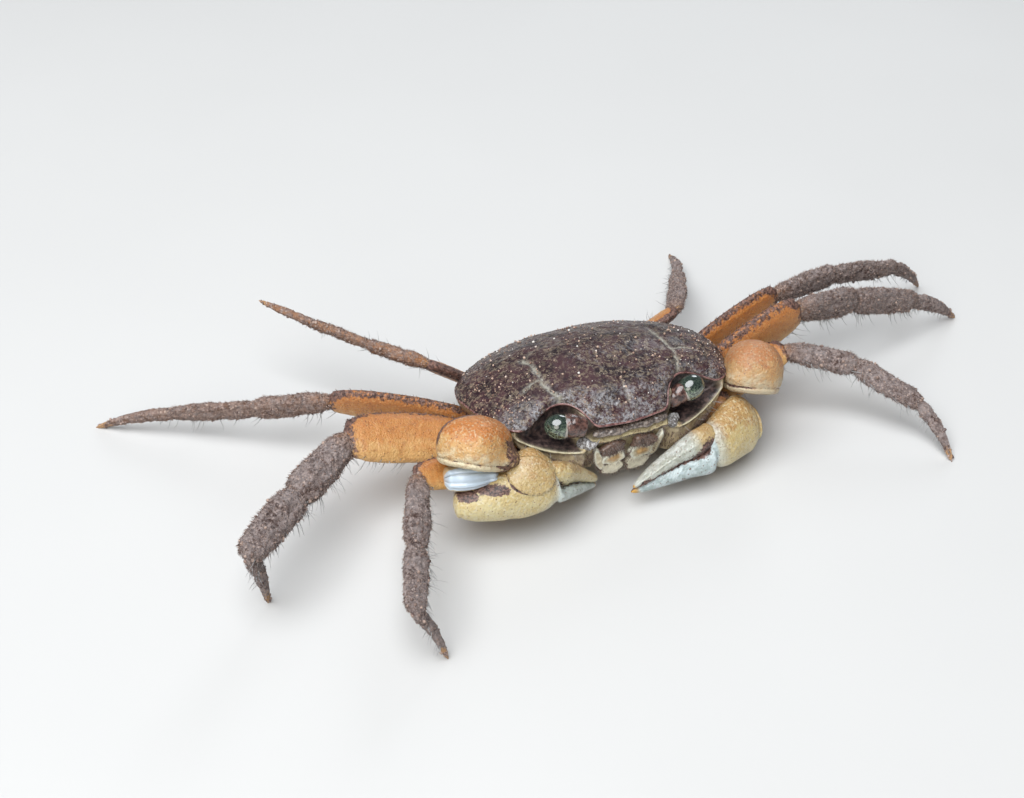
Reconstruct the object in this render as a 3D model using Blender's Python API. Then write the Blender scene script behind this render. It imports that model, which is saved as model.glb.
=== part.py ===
"""Land crab, life size, standing.  Metres, +Z up, the face looks to -Y, +X is the crab's left."""
import bpy
import bmesh
from math import sin, cos, pi, radians, asin
from mathutils import Vector, Matrix

MM = 0.001
GAP = 0.3 * MM                # clearance between neighbouring plates

# ---- body, in its own frame: origin under the dome at the level of the lateral margin ----
WIDTH = 28.0 * MM             # carapace width
FRONT_HALF = 4.0 * MM         # half width of the front between the orbits
FRONT_Y = 9.3 * MM            # front margin ahead of the origin
CORNER_X = 10.7 * MM          # outer orbital corner
CORNER_Y = 7.4 * MM
ORBIT_DEPTH = 2.1 * MM        # how far the upper orbital margin is set back
ORBIT_RISE = 1.4 * MM         # and how far it arches up over the eye
ORBIT_PEAK = 0.36             # place of the arch's top, from the inner end of the orbit
WIDEST_Y = 0.6 * MM           # widest line behind the origin
REAR_Y = 12.0 * MM            # rear margin behind the origin
DOME = 3.75 * MM              # height of the dome over the margin
SAG = 3.4 * MM                # fall of the margin from the widest line to the rear
SKIRT_FRONT = 1.3 * MM        # lower edge of the carapace under the margin level, in front
SKIRT_REAR = 4.3 * MM         # and at the rear
BELLY = 6.9 * MM              # underside of the front below the margin
BODY_HEIGHT = 9.0 * MM        # margin level over the floor
BODY_PITCH = 8.0              # degrees, face raised
BODY_ROLL = -2.0              # degrees, left side lowered
EYE_X, EYE_Y, EYE_Z = 7.65 * MM, 8.05 * MM, 0.25 * MM
EYE_R = 1.3 * MM
MOUTH_TOP, MOUTH_BOTTOM = 3.0 * MM, 7.4 * MM
MOUTH_HALF = 3.1 * MM
FACE_LEAN = 0.17              # how far the face draws back from its top to the underside

# ---- walking legs: lengths, half height and half thickness of each article, pairs 2 to 5 ----
ARTICLES = ("base", "merus", "carpus", "propodus", "dactyl")
LENGTHS = {2: (3.4, 12.2, 7.6, 7.7, 7.0), 3: (3.6, 15.2, 8.2, 9.0, 8.8),
           4: (3.6, 15.0, 8.2, 9.4, 9.3), 5: (3.3, 8.0, 7.0, 7.2, 7.4)}
DEPTHS = {2: (1.15, 1.75, 1.25, 1.2, 0.75), 3: (1.25, 2.75, 1.7, 1.6, 0.95),
          4: (1.25, 2.05, 1.4, 1.2, 0.8), 5: (1.1, 1.6, 1.15, 1.05, 0.7)}
FLATNESS = (0.95, 0.42, 0.58, 0.48, 0.62)
LEG_ROOTS = {2: (6.8, -3.8, -6.0), 3: (7.7, -0.8, -6.0), 4: (7.9, 2.6, -5.8), 5: (6.6, 7.6, -5.5)}

# ---- stance: for each article its heading (degrees forward of sideways) and its rise;
#      a rise of None lets the dactyl come down to the floor ----
STANCE = {
    ("right", 2): ((7, -6), (10, 22), (68, -11), (68, -1), (155, None)),
    ("right", 3): ((-8, 10), (-6, 17), (36, -4), (44, 4), (-131, None)),
    ("right", 4): ((-26, 5), (-24, 10), (-29, -12), (-31.5, -10.5), (-29, None)),
    ("right", 5): ((-58, 0), (8, 42), (-50, 1), (-54, 0), (-54, 3)),
    ("left", 2): ((-2, -4), (-7, 19), (35, -6), (52, -18), (81, None)),
    ("left", 3): ((-12, 2), (-5, 23), (-6, -11), (0, -17), (-3, None)),
    ("left", 4): ((-22, 0), (-6, 22), (-6.5, -1), (-3.5, -12), (-20, None)),
    ("left", 5): ((-58, 0), (10, 33), (-58, -16), (-60, -22), (-68, None)),
}
FOOT_R = 0.3 * MM

# ---- claws: article centres and directions, in millimetres over the floor; roots and roots_high are
#      the places and half heights of the movable and the fixed finger where they leave the palm ----
ARM_HALF = (1.3, 1.0)
CLAW = {
    "right": {"wrist": (-15.65, -7.1, 9.95), "size": (3.7, 3.3, 2.95), "heel": (-17.1, -8.9, 6.7),
              "end": (-9.2, -10.6, 6.4), "tip": (-3.5, -9.2, 3.0), "up": (0.26, 0.56, 0.79),
              "height": 3.6, "thick": 2.0, "roots": (0.16, -0.44), "roots_high": (0.30, 0.22)},
    "left": {"wrist": (15.4, -6.9, 8.9), "size": (3.1, 3.0, 3.0), "heel": (13.44, -9.4, 3.99),
             "end": (8.4, -10.9, 4.46), "tip": (-0.6, -11.5, 2.75), "up": (-0.20, 0.50, 0.84),
             "height": 2.75, "thick": 1.8, "roots": (0.42, -0.44), "roots_high": (0.42, 0.40)},
}
PALM_FORM = {
    "right": ((-0.17, -0.42, 0.20, 0.32), (-0.10, -0.42, 0.36, 0.56), (0.02, -0.42, 0.46, 0.76),
              (0.16, -0.39, 0.54, 0.90), (0.34, -0.29, 0.67, 1.0), (0.47, -0.24, 0.71, 1.0),
              (0.62, -0.08, 0.88, 0.98), (0.80, 0.0, 0.88, 0.92), (0.94, -0.05, 0.72, 0.80),
              (1.02, -0.08, 0.56, 0.62)),
    "left": ((-0.22, 0.06, 0.34, 0.40), (-0.14, 0.10, 0.70, 0.76), (0.02, 0.12, 0.94, 0.96),
             (0.25, 0.12, 1.0, 1.0), (0.55, 0.08, 1.0, 1.0), (0.82, 0.0, 0.92, 0.92),
             (0.96, -0.02, 0.80, 0.80), (1.03, -0.04, 0.60, 0.62)),
}
SIDES = {"right": -1, "left": 1}

for item in list(bpy.data.objects):
    bpy.data.objects.remove(item, do_unlink=True)

crab = bpy.data.collections.new("land_crab")
bpy.context.scene.collection.children.link(crab)
root = bpy.data.objects.new("land_crab_root", None)
crab.objects.link(root)


def paint(name, colour, rough):
    mat = bpy.data.materials.new(name)
    mat.use_nodes = True
    shader = mat.node_tree.nodes["Principled BSDF"]
    shader.inputs["Base Color"].default_value = (*colour, 1)
    shader.inputs["Roughness"].default_value = rough
    return mat


COLOURS = {"carapace": ((0.085, 0.045, 0.035), 0.45), "underside": ((0.55, 0.42, 0.22), 0.5),
           "orange": ((0.62, 0.27, 0.06), 0.45), "claw": ((0.70, 0.50, 0.20), 0.4),
           "leg_brown": ((0.17, 0.09, 0.07), 0.8), "eye": ((0.01, 0.02, 0.015), 0.1),
           "stalk": ((0.16, 0.05, 0.03), 0.4), "mouth": ((0.62, 0.52, 0.28), 0.5)}


def solid(name, rings, colour, centre):
    """One closed solid from rings of points with equal counts, its two ends closed flat."""
    bm = bmesh.new()
    levels = [[bm.verts.new(p - centre) for p in ring] for ring in rings]
    count = len(levels[0])
    for low, high in zip(levels, levels[1:]):
        for k in range(count):
            bm.faces.new((low[k], low[(k + 1) % count], high[(k + 1) % count], high[k]))
    bm.faces.new(list(reversed(levels[0])))
    bm.faces.new(levels[-1])
    bmesh.ops.recalc_face_normals(bm, faces=bm.faces[:])
    mesh = bpy.data.meshes.new(name)
    bm.to_mesh(mesh)
    bm.free()
    base_colour, rough = COLOURS[colour]
    mesh.materials.append(paint(name, base_colour, rough))
    obj = bpy.data.objects.new(name, mesh)
    obj.location = centre
    obj.parent = root
    crab.objects.link(obj)
    return obj


def tube(name, stations, thin_hint, colour, count=10, keel=0.0):
    """A closed solid along stations (centre, half height, half thickness, direction or None);
    thin_hint is the thin direction; keel sharpens the upper and lower edges; nothing goes
    below the floor."""
    rings = []
    last = len(stations) - 1
    for k, (middle, h, w, facing) in enumerate(stations):
        along = facing
        if along is None:
            along = stations[min(k + 1, last)][0] - stations[max(k - 1, 0)][0]
        along = along.normalized()
        thin = (thin_hint - along * thin_hint.dot(along)).normalized()
        high = thin.cross(along).normalized()
        ring = []
        for j in range(count):
            ang = 2 * pi * j / count
            c, s = cos(ang), sin(ang)
            p = middle + high * (h * s) + thin * (w * c * (1 - keel * s * s))
            ring.append(Vector((p.x, p.y, max(p.z, 0.0))))
        rings.append(ring)
    return solid(name, rings, colour, stations[0][0].copy())


def limb(name, a, b, thin_hint, profile, colour, count=10, bow=0.0, keel=0.0):
    """An article from a to b; profile: (place along, half height, half thickness)."""
    along = b - a
    high = thin_hint.cross(along).normalized()
    if high.z < 0:
        high = -high
    stations = [(a + along * t + high * (bow * sin(pi * t)), h, w, None) for t, h, w in profile]
    return tube(name, stations, thin_hint, colour, count, keel)


# ---- the frame of the body ----
pitch, roll = radians(BODY_PITCH), radians(BODY_ROLL)
TURN = Matrix.Rotation(-roll, 3, "Y") @ Matrix.Rotation(-pitch, 3, "X")


def body(x, y, z):
    """A body point (x to the left, y to the rear, z up from the margin) over the floor."""
    return TURN @ Vector((x, y, z)) + Vector((0, 0, BODY_HEIGHT))


def arch(t):
    """The orbit's notch from its inner end (t = 0) to its outer corner (1): steep within, 1 at the peak."""
    rise, fall = 2.22 * ORBIT_PEAK, 2.22 * (1 - ORBIT_PEAK)
    top = ORBIT_PEAK ** rise * (1 - ORBIT_PEAK) ** fall
    return t ** rise * (1 - t) ** fall / top


def half_outline(steps_front=3, steps_orbit=6, steps_side=5, steps_rear=7):
    """Left half of the outline from the middle of the front to the middle of the rear, each
    point with the share of the orbital notch there."""
    pts = [(FRONT_HALF * k / steps_front, -FRONT_Y, 0.0) for k in range(steps_front + 1)]
    for k in range(1, steps_orbit + 1):
        t = k / steps_orbit
        x = FRONT_HALF + (CORNER_X - FRONT_HALF) * t
        y = -FRONT_Y + (FRONT_Y - CORNER_Y) * t
        pts.append((x, y, arch(t)))
    for k in range(1, steps_side + 1):
        a = pi / 2 * k / steps_side
        pts.append((CORNER_X + (WIDTH / 2 - CORNER_X) * sin(a),
                    WIDEST_Y - (WIDEST_Y + CORNER_Y) * cos(a) ** 1.1, 0.0))
    for k in range(1, steps_rear + 1):
        a = pi / 2 * k / steps_rear
        pts.append((WIDTH / 2 * cos(a) ** 1.2,
                    min(REAR_Y, WIDEST_Y + (REAR_Y + 0.9 * MM - WIDEST_Y) * sin(a)), 0.0))
    pts[-1] = (0.0, REAR_Y, 0.0)
    return pts


half = half_outline()
OUTLINE = half + [(-x, y, notch) for x, y, notch in reversed(half[1:-1])]
MID_Y = 1.2 * MM              # the rings of the shell shrink towards this line


def edge(y):
    """Height of the lateral margin: level at the sides, falling to the rear and a little in front."""
    back = max(0.0, (y + 2 * MM) / (REAR_Y + 2 * MM))
    ahead = max(0.0, (-y - 6.5 * MM) / (FRONT_Y - 6.5 * MM))
    return -SAG * back ** 1.35 - 0.45 * MM * ahead ** 2


def skirt(y):
    """The lower edge of the carapace, a plane falling to the rear."""
    return -SKIRT_FRONT - (SKIRT_REAR - SKIRT_FRONT) * (y + FRONT_Y) / (REAR_Y + FRONT_Y)


def shell_ring(scale, rise, on_skirt=0.0):
    """A ring of the shell; the orbital notches fade out above the margin."""
    fade = max(0.0, (scale - 0.72) / 0.28)
    pts = []
    for x, y, notch in OUTLINE:
        py = MID_Y + (y - MID_Y) * scale + ORBIT_DEPTH * notch * fade
        margin = edge(py) + rise + ORBIT_RISE * notch * fade
        pts.append(body(x * scale, py, margin * (1 - on_skirt) + skirt(py) * on_skirt))
    return pts


# ---- carapace: domed shell, closed below by a flat floor ----
rings = [shell_ring(0.89, 0.0, 1.0), shell_ring(0.965, 0.0, 0.55), shell_ring(1.0, 0.0)]
for rho in (0.975, 0.92, 0.83, 0.70, 0.53, 0.33, 0.14):
    rings.append(shell_ring(rho, DOME * (1 - rho ** 2.5) ** 0.68))
carapace = solid("carapace", rings, "carapace", body(0, 0, 0))

# ---- thorax: the bowl under the shell, with the face in front ----
def below(y):
    """The underside, deepest at the mouth."""
    return -BELLY * (1 - 0.24 * max(0.0, min(1.0, (y + 3 * MM) / (13 * MM))))


BOWL = ((0.0, 0.85), (0.15, 0.78), (0.32, 0.67), (0.5, 0.56), (0.7, 0.45), (0.88, 0.37), (1.0, 0.27))


def bowl_ring(u, scale):
    """The face stays forward and upright while the sides and rear draw in."""
    pts = []
    for x, y, notch in OUTLINE:
        keep = 0.0
        if y < 0:
            keep = (1 - min(1, abs(x) / CORNER_X) ** 3) * (-y / FRONT_Y) ** 2
        px = x * (scale + (0.70 - scale) * keep * 0.9 * u)
        py = MID_Y + (y - MID_Y) * (scale + (0.86 - FACE_LEAN * u - scale) * keep)
        top = skirt(py) - GAP
        pts.append(body(px, py, top + (below(py) - top) * u))
    return pts


thorax = solid("thorax", [bowl_ring(*row) for row in BOWL], "underside", body(0, 0, -4 * MM))


# ---- eyes on their stalks, in the notches of the front; feelers ----
for side, s in SIDES.items():
    eye_at = body(s * EYE_X, -EYE_Y, EYE_Z)
    stalk_in = body(s * 5.0 * MM, -8.8 * MM, -0.35 * MM)
    stalk_dir = (eye_at - stalk_in).normalized()
    rings = []
    across = stalk_dir.cross(Vector((0, 0, 1))).normalized()
    rise = across.cross(stalk_dir).normalized()
    for k in range(7):
        t = -0.72 + 1.66 * k / 6
        r = EYE_R * (max(0.05, 1 - t * t)) ** 0.5
        rings.append([eye_at + stalk_dir * (EYE_R * t * 1.04) + across * (r * 0.95 * cos(2 * pi * j / 14))
                      + rise * (r * 1.0 * sin(2 * pi * j / 14)) for j in range(14)])
    solid("eye_" + side, rings, "eye", eye_at)
    stalk_end = eye_at - stalk_dir * (EYE_R * 0.75 + GAP)
    limb("eyestalk_" + side, stalk_in, stalk_end, across,
         ((0, 0.55 * MM, 0.55 * MM), (0.35, 0.85 * MM, 0.80 * MM), (0.8, 1.05 * MM, 0.95 * MM),
          (1, 1.0 * MM, 0.92 * MM)), "stalk", count=12)

for side, s in SIDES.items():
    a = body(s * 4.6 * MM, -8.55 * MM, -2.45 * MM)
    b = body(s * 3.9 * MM, -10.3 * MM, -1.85 * MM)
    limb("antenna_" + side, a, b, Vector((1, 0, 0)),
         ((0, 0.42 * MM, 0.42 * MM), (0.5, 0.36 * MM, 0.36 * MM), (1, 0.27 * MM, 0.27 * MM)),
         "mouth", count=8)

# ---- mouth plates ----
FACE = 8.2 * MM
for side, s in SIDES.items():
    rings = []
    for k in range(7):
        t = k / 6
        z = -MOUTH_TOP - (MOUTH_BOTTOM - MOUTH_TOP) * t
        y = -FACE + 1.25 * MM * t ** 1.1
        outer = MOUTH_HALF * (1 - 0.22 * t ** 2)
        inner = 0.15 * MM
        rings.append([body(s * inner, y, z), body(s * (inner + outer) / 2, y, z), body(s * outer, y, z),
                      body(s * outer, y - 0.45 * MM, z), body(s * (outer * 0.6), y - 0.95 * MM, z),
                      body(s * inner, y - 0.9 * MM, z)])
    solid("mouthpart_" + side, rings, "mouth", body(s * 1.5 * MM, -FACE, -5 * MM))

# ---- abdomen folded under the rear ----
PLATE = 0.6 * MM
FOLD = [(12.35, -4.5, 4.7), (12.4, -5.2, 4.7), (11.4, -5.75, 4.5)]
for y, w in ((9.4, 4.1), (7.0, 3.6), (4.4, 3.0), (1.9, 2.3), (-0.6, 1.2)):
    FOLD.append((y, (below(y * MM) - GAP) / MM, w))
rings = []
for k, (y, z, w) in enumerate(FOLD):
    y0, z0, _ = FOLD[max(k - 1, 0)]
    y1, z1, _ = FOLD[min(k + 1, len(FOLD) - 1)]
    run = Vector((0, y1 - y0, z1 - z0)).normalized()
    out = Vector((0, -run.z, run.y)) * -1
    row = []
    for f, lift in ((-1, 0.25), (-0.5, 0.9), (0, 1), (0.5, 0.9), (1, 0.25)):
        p = Vector((f * w * MM, y * MM, z * MM)) - out * (PLATE * lift)
        row.append(body(p.x, p.y, p.z))
    for f in (1, 0, -1):
        p = Vector((f * w * MM, y * MM, z * MM))
        row.append(body(p.x, p.y, p.z))
    rings.append(row)
abdomen = solid("abdomen", rings, "underside", body(0, 6 * MM, -7 * MM))


# ---- walking legs ----
def direction(side, heading, rise):
    h, r = radians(heading), radians(rise)
    return Vector((SIDES[side] * cos(h) * cos(r), -sin(h) * cos(r), sin(r)))


PROFILE = {
    "base": ((0, 0.8, 0.8), (0.35, 1.0, 1.0), (0.75, 0.92, 0.92), (1, 0.7, 0.7)),
    "merus": ((0, 0.5, 0.75), (0.1, 0.68, 0.95), (0.35, 0.93, 1.0), (0.62, 1.0, 1.0), (0.86, 0.9, 0.97),
              (0.96, 0.68, 0.85), (1, 0.5, 0.7)),
    "carpus": ((0, 0.5, 0.66), (0.12, 0.74, 0.9), (0.45, 0.95, 1.0), (0.8, 1.0, 1.0), (0.94, 0.85, 0.9),
               (1, 0.62, 0.75)),
    "propodus": ((0, 0.6, 0.8), (0.12, 0.85, 0.98), (0.45, 1.0, 1.0), (0.8, 0.88, 0.95), (0.95, 0.72, 0.85),
                 (1, 0.56, 0.7)),
    "dactyl": ((0, 0.68, 0.8), (0.1, 0.92, 1.0), (0.35, 0.85, 0.92), (0.6, 0.68, 0.78), (0.82, 0.5, 0.6)),
}
CLAY = {"base": "orange", "merus": "orange", "carpus": "leg_brown", "propodus": "leg_brown",
        "dactyl": "leg_brown"}

for (side, pair), headings in STANCE.items():
    x, y, z = LEG_ROOTS[pair]
    at = body(SIDES[side] * x * MM, y * MM, z * MM)
    joints, runs = [at], []
    for k, (heading, rise) in enumerate(headings):
        length = LENGTHS[pair][k] * MM
        if rise is None:
            rise = -asin(min(1, joints[-1].z / length)) * 180 / pi
        run = direction(side, heading, rise)
        runs.append(run)
        joints.append(joints[-1] + run * length)
    plane = runs[1].cross(runs[2])
    if plane.length < 0.15:
        plane = runs[1].cross(Vector((0, 0, -1)))
    plane.normalize()
    for k, article in enumerate(ARTICLES):
        h = DEPTHS[pair][k] * MM
        w = h * FLATNESS[k]
        start, end = joints[k], joints[k + 1]
        trim = GAP / 2
        bend_in = runs[k - 1].angle(runs[k]) if k else 0
        bend_out = runs[k].angle(runs[k + 1]) if k < 4 else 0
        first_h = PROFILE[article][0][1] * h
        last_h = PROFILE[article][-1][1] * h
        a = start + runs[k] * (trim + first_h * min(1.2, abs(sin(bend_in / 2))))
        b = end - runs[k] * ((trim + last_h * min(1.2, abs(sin(bend_out / 2)))) if k < 4 else 0)
        shape = [(t, ph * h, pw * w) for t, ph, pw in PROFILE[article]]
        bow = 0.0
        if article == "dactyl":
            shape.append((1.0, FOOT_R, FOOT_R))
            bow = 0.45 * MM
        if article == "merus":
            bow = 0.35 * MM
        limb("leg%d_%s_%s" % (pair, article, side), a, b, plane, shape, CLAY[article],
             count=10 if k else 8, bow=bow, keel=0.25 if article == "merus" else 0.0)

# ---- claws ----
for side, claw in CLAW.items():
    s = SIDES[side]
    shoulder = body(s * 6.0 * MM, -6.6 * MM, -5.9 * MM)
    wrist = Vector(claw["wrist"]) * MM
    heel = Vector(claw["heel"]) * MM
    end = Vector(claw["end"]) * MM
    tip = Vector(claw["tip"]) * MM
    up = Vector(claw["up"]).normalized()
    tall = claw["height"] * MM
    thick = claw["thick"] * MM
    elbow = wrist + Vector((-s * 2.6, 0.7, -3.1)) * MM
    limb("arm_" + side, shoulder, elbow, Vector((0, 1, 0)),
         ((0, 1.0 * MM, 1.0 * MM), (0.3, ARM_HALF[0] * MM, ARM_HALF[1] * MM),
          (0.75, ARM_HALF[0] * MM, ARM_HALF[1] * MM), (1, 0.9 * MM, 0.8 * MM)), "orange", count=10)
    # the rounded wrist, flattened towards the palm
    to_heel = (heel - wrist).normalized()
    u = (up - to_heel * up.dot(to_heel)).normalized()
    v = to_heel.cross(u)
    wide, deep, long = (size * MM for size in claw["size"])
    rings = []
    for k in range(9):
        t = -0.93 + 1.44 * k / 8
        r = (1 - abs(t) ** 2.3) ** 0.5
        centre = wrist + to_heel * (long * t)
        rings.append([centre + v * (wide * r * cos(2 * pi * j / 14))
                      + u * (deep * r * sin(2 * pi * j / 14)) for j in range(14)])
    solid("wrist_" + side, rings, "orange", wrist)
    # the palm with its fixed finger, then the movable finger over it
    span = end - heel
    ahead = span.normalized()
    across = ahead.cross(up)
    place_high, place_low = (tall * place for place in claw["roots"])
    root_h, fixed_h = (tall * half_height for half_height in claw["roots_high"])
    low_tip = tip - up * (0.55 * MM) + across * (s * 0.65 * MM)
    root_low = end + up * place_low + ahead * (0.75 * MM)
    fixed = low_tip - root_low
    stations = [(heel + span * t + up * (tall * off), tall * h, thick * w, ahead)
                for t, off, h, w in PALM_FORM[side]]
    stations += [(root_low, fixed_h, thick * 0.50, ahead + fixed.normalized() * 0.5),
                 (root_low + fixed * 0.30, fixed_h * 0.80, thick * 0.40, fixed),
                 (root_low + fixed * 0.62, fixed_h * 0.60, thick * 0.30, fixed),
                 (root_low + fixed * 0.88, fixed_h * 0.36, thick * 0.20, fixed),
                 (low_tip, 0.26 * MM, 0.26 * MM, fixed)]
    tube("palm_" + side, stations, across, "claw", count=14)
    root_high = end + up * place_high + ahead * (0.8 * MM)
    moving = tip - root_high
    stations = [(root_high, root_h * 0.9, thick * 0.44, ahead),
                (root_high + moving * 0.10, root_h, thick * 0.50, ahead + moving.normalized()),
                (root_high + moving * 0.36 + up * (tall * 0.05), root_h * 0.80, thick * 0.42, moving),
                (root_high + moving * 0.66 + up * (tall * 0.05), root_h * 0.57, thick * 0.31, moving),
                (root_high + moving * 0.88 + up * (tall * 0.02), root_h * 0.38, thick * 0.20, moving),
                (tip, 0.27 * MM, 0.27 * MM, moving)]
    tube("finger_" + side, stations, across, "claw", count=12)

# ---- the model is centred over the origin, standing on the floor ----
bpy.context.view_layer.update()
low, high = Vector((1e9,) * 3), Vector((-1e9,) * 3)
for obj in crab.objects:
    if obj.type == "MESH":
        for vert in obj.data.vertices:
            p = obj.matrix_world @ vert.co
            low = Vector(map(min, low, p))
            high = Vector(map(max, high, p))
root.location = (-(low.x + high.x) / 2, -(low.y + high.y) / 2, -low.z)
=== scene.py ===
"""Looks of the land crab: shell, face, claws, legs and bristles as detailed meshes round the frame."""
from math import asin, cos, pi, radians, sin

import bpy
import numpy as np
from mathutils import Euler, Matrix, Vector


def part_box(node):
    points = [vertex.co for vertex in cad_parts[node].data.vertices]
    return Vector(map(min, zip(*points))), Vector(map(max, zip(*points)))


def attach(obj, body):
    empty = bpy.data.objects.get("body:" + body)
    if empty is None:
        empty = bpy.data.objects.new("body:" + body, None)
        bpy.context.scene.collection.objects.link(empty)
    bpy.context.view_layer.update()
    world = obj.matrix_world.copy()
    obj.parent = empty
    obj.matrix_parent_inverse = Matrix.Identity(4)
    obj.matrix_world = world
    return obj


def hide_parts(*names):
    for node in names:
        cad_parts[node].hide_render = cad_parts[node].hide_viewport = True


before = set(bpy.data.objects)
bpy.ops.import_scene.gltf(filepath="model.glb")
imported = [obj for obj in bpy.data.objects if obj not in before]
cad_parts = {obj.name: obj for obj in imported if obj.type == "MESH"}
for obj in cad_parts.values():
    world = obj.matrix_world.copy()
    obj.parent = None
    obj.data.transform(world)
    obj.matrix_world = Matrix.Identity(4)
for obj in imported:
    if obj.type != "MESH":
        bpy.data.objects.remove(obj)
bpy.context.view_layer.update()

MM = 0.001
SIDES = {"right": -1, "left": 1}

# ---- sizes of the body, in millimetres and degrees, as in the solids ----
HALF_WIDTH, FRONT_HALF, FRONT_Y = 14.0, 4.0, 9.3
CORNER = (10.7, 7.4)  # the outer corner of the orbit, x and how far forward
ORBIT_DEPTH, ORBIT_RISE, ORBIT_PEAK = 2.1, 1.4, 0.36
WIDEST_Y, REAR_Y, MID_Y = 0.6, 12.0, 1.2
DOME, SAG, SKIRT_FRONT, SKIRT_REAR, BELLY = 3.75, 3.4, 1.3, 4.3, 6.9
BODY_HEIGHT, PITCH, ROLL = 9.0, 8.0, -2.0

# ================= numbers: noise, steps and splines on arrays of points in millimetres =================


def step(x, low, high):
    """0 below low, 1 above high, smooth between; low may be the larger one."""
    t = np.clip((x - low) / (high - low), 0, 1)
    return t * t * (3 - 2 * t)


def bump(x, width):
    """1 at x = 0, falling smoothly to almost nothing at twice the width."""
    return np.exp(-(x / width) ** 2)


def circle(count):
    """Evenly spaced angles once round."""
    return np.linspace(0, 2 * pi, count, endpoint=False)


def scatter(ix, iy, iz, seed):
    """A number from 0 to 1 for each whole-number cell."""
    h = (ix * 374761393 + iy * 668265263 + iz * 1440662683 + seed * 974634777) & 0xFFFFFFFF
    h = ((h ^ (h >> 13)) * 1274126177) & 0xFFFFFFFF
    return ((h ^ (h >> 16)) & 0xFFFFFF) / float(0xFFFFFF)


def noise(p, size, seed=0, octaves=1):
    """Smooth noise from -1 to 1 over points p, with features of that size."""
    total, weight = 0.0, 0.0
    for k in range(octaves):
        q = p / (size / 2 ** k) + 100.0
        i = np.floor(q).astype(np.int64)
        f = q - i
        f = f * f * (3 - 2 * f)
        value = 0.0
        for corner in range(8):
            d = np.array([corner & 1, corner >> 1 & 1, corner >> 2])
            w = np.prod(np.where(d, f, 1 - f), axis=-1)
            value = value + w * scatter(*np.moveaxis(i + d, -1, 0), seed + k)
        total = total + (value * 2 - 1) / 2 ** k
        weight += 1 / 2 ** k
    return total / weight


def cells(p, size, seed=0):
    """Distance from each point to the nearest of scattered seeds, 0 at a seed, in cell widths,
    and a number from 0 to 1 that belongs to that seed."""
    q = p / size + 100.0
    i = np.floor(q).astype(np.int64)
    best = np.full(p.shape[:-1], 9.0)
    mark = np.zeros(p.shape[:-1])
    for n in range(27):
        c = i + np.array([n % 3 - 1, n // 3 % 3 - 1, n // 9 - 1])
        xyz = np.moveaxis(c, -1, 0)
        at = c + np.stack([scatter(*xyz, seed + k) for k in (1, 2, 3)], -1)
        d = np.linalg.norm(q - at, axis=-1)
        nearer = d < best
        mark = np.where(nearer, scatter(*xyz, seed + 4), mark)
        best = np.where(nearer, d, best)
    return best, mark


def line_distance(x, y, points):
    """Distance in the plan from (x, y) to a line through points."""
    best = np.full(np.shape(x), 99.0)
    for (ax, ay), (bx, by) in zip(points, points[1:]):
        dx, dy = bx - ax, by - ay
        t = np.clip(((x - ax) * dx + (y - ay) * dy) / (dx * dx + dy * dy), 0, 1)
        best = np.minimum(best, np.hypot(x - ax - t * dx, y - ay - t * dy))
    return best


def spline(knots, values, at):
    """Values at places `at`, on a smooth curve through the knots."""
    knots, values, at = np.asarray(knots, float), np.asarray(values, float), np.asarray(at, float)
    slopes = np.gradient(values, knots, axis=0)
    k = np.clip(np.searchsorted(knots, at) - 1, 0, len(knots) - 2)
    h = knots[k + 1] - knots[k]
    t = (at - knots[k]) / h
    shape = (-1,) + (1,) * (values.ndim - 1)
    t, h = t.reshape(shape), h.reshape(shape)
    return (values[k] * (2 * t ** 3 - 3 * t ** 2 + 1) + slopes[k] * h * (t ** 3 - 2 * t ** 2 + t)
            + values[k + 1] * (3 * t ** 2 - 2 * t ** 3) + slopes[k + 1] * h * (t ** 3 - t ** 2))


def unit(v):
    """Vectors of length 1 along v."""
    v = np.asarray(v, float)
    return v / np.maximum(np.linalg.norm(v, axis=-1, keepdims=True), 1e-12)


# ================= meshes =================


def surface_normals(grid):
    """Outward normals of a grid of rings (ring, round, xyz) that close on themselves."""
    along = np.gradient(grid, axis=0)
    around = np.roll(grid, -1, axis=1) - np.roll(grid, 1, axis=1)
    n = unit(np.cross(around, along))
    middle = grid.mean(axis=1, keepdims=True)
    return n * np.sign(np.mean(np.sum(n * (grid - middle), axis=-1)) or 1.0)


def raised(grid, lift):
    """The grid with each point moved out along its normal."""
    return grid + surface_normals(grid) * lift[..., None]


def piece(name, points, quads, tris, material, fields=None, uv=None):
    """A mesh object riding on the root body; points in millimetres; fields are numbers per point
    that the materials read by name."""
    mesh = bpy.data.meshes.new(name)
    quads = np.asarray(quads, np.int32).reshape(-1, 4)
    tris = np.asarray(tris, np.int32).reshape(-1, 3)
    mesh.vertices.add(len(points))
    mesh.vertices.foreach_set("co", (points * MM).astype(np.float32).ravel())
    loops = np.concatenate([quads.ravel(), tris.ravel()])
    mesh.loops.add(len(loops))
    mesh.loops.foreach_set("vertex_index", loops)
    sizes = np.concatenate([np.full(len(quads), 4), np.full(len(tris), 3)]).astype(np.int32)
    mesh.polygons.add(len(sizes))
    mesh.polygons.foreach_set("loop_start", (np.cumsum(sizes) - sizes).astype(np.int32))
    mesh.polygons.foreach_set("loop_total", sizes)
    mesh.polygons.foreach_set("use_smooth", np.ones(len(sizes), bool))
    mesh.update(calc_edges=True)
    mesh.validate()
    for field, values in (fields or {}).items():
        made = mesh.attributes.new(field, "FLOAT", "POINT")
        made.data.foreach_set("value", np.asarray(values, np.float32).ravel())
    if uv is not None:
        layer = mesh.uv_layers.new(name="OFBake")
        layer.data.foreach_set("uv", uv[loops].astype(np.float32).ravel())
    mesh.materials.append(material)
    obj = bpy.data.objects.new(name, mesh)
    bpy.context.scene.collection.objects.link(obj)
    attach(obj, "root")
    return obj


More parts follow.
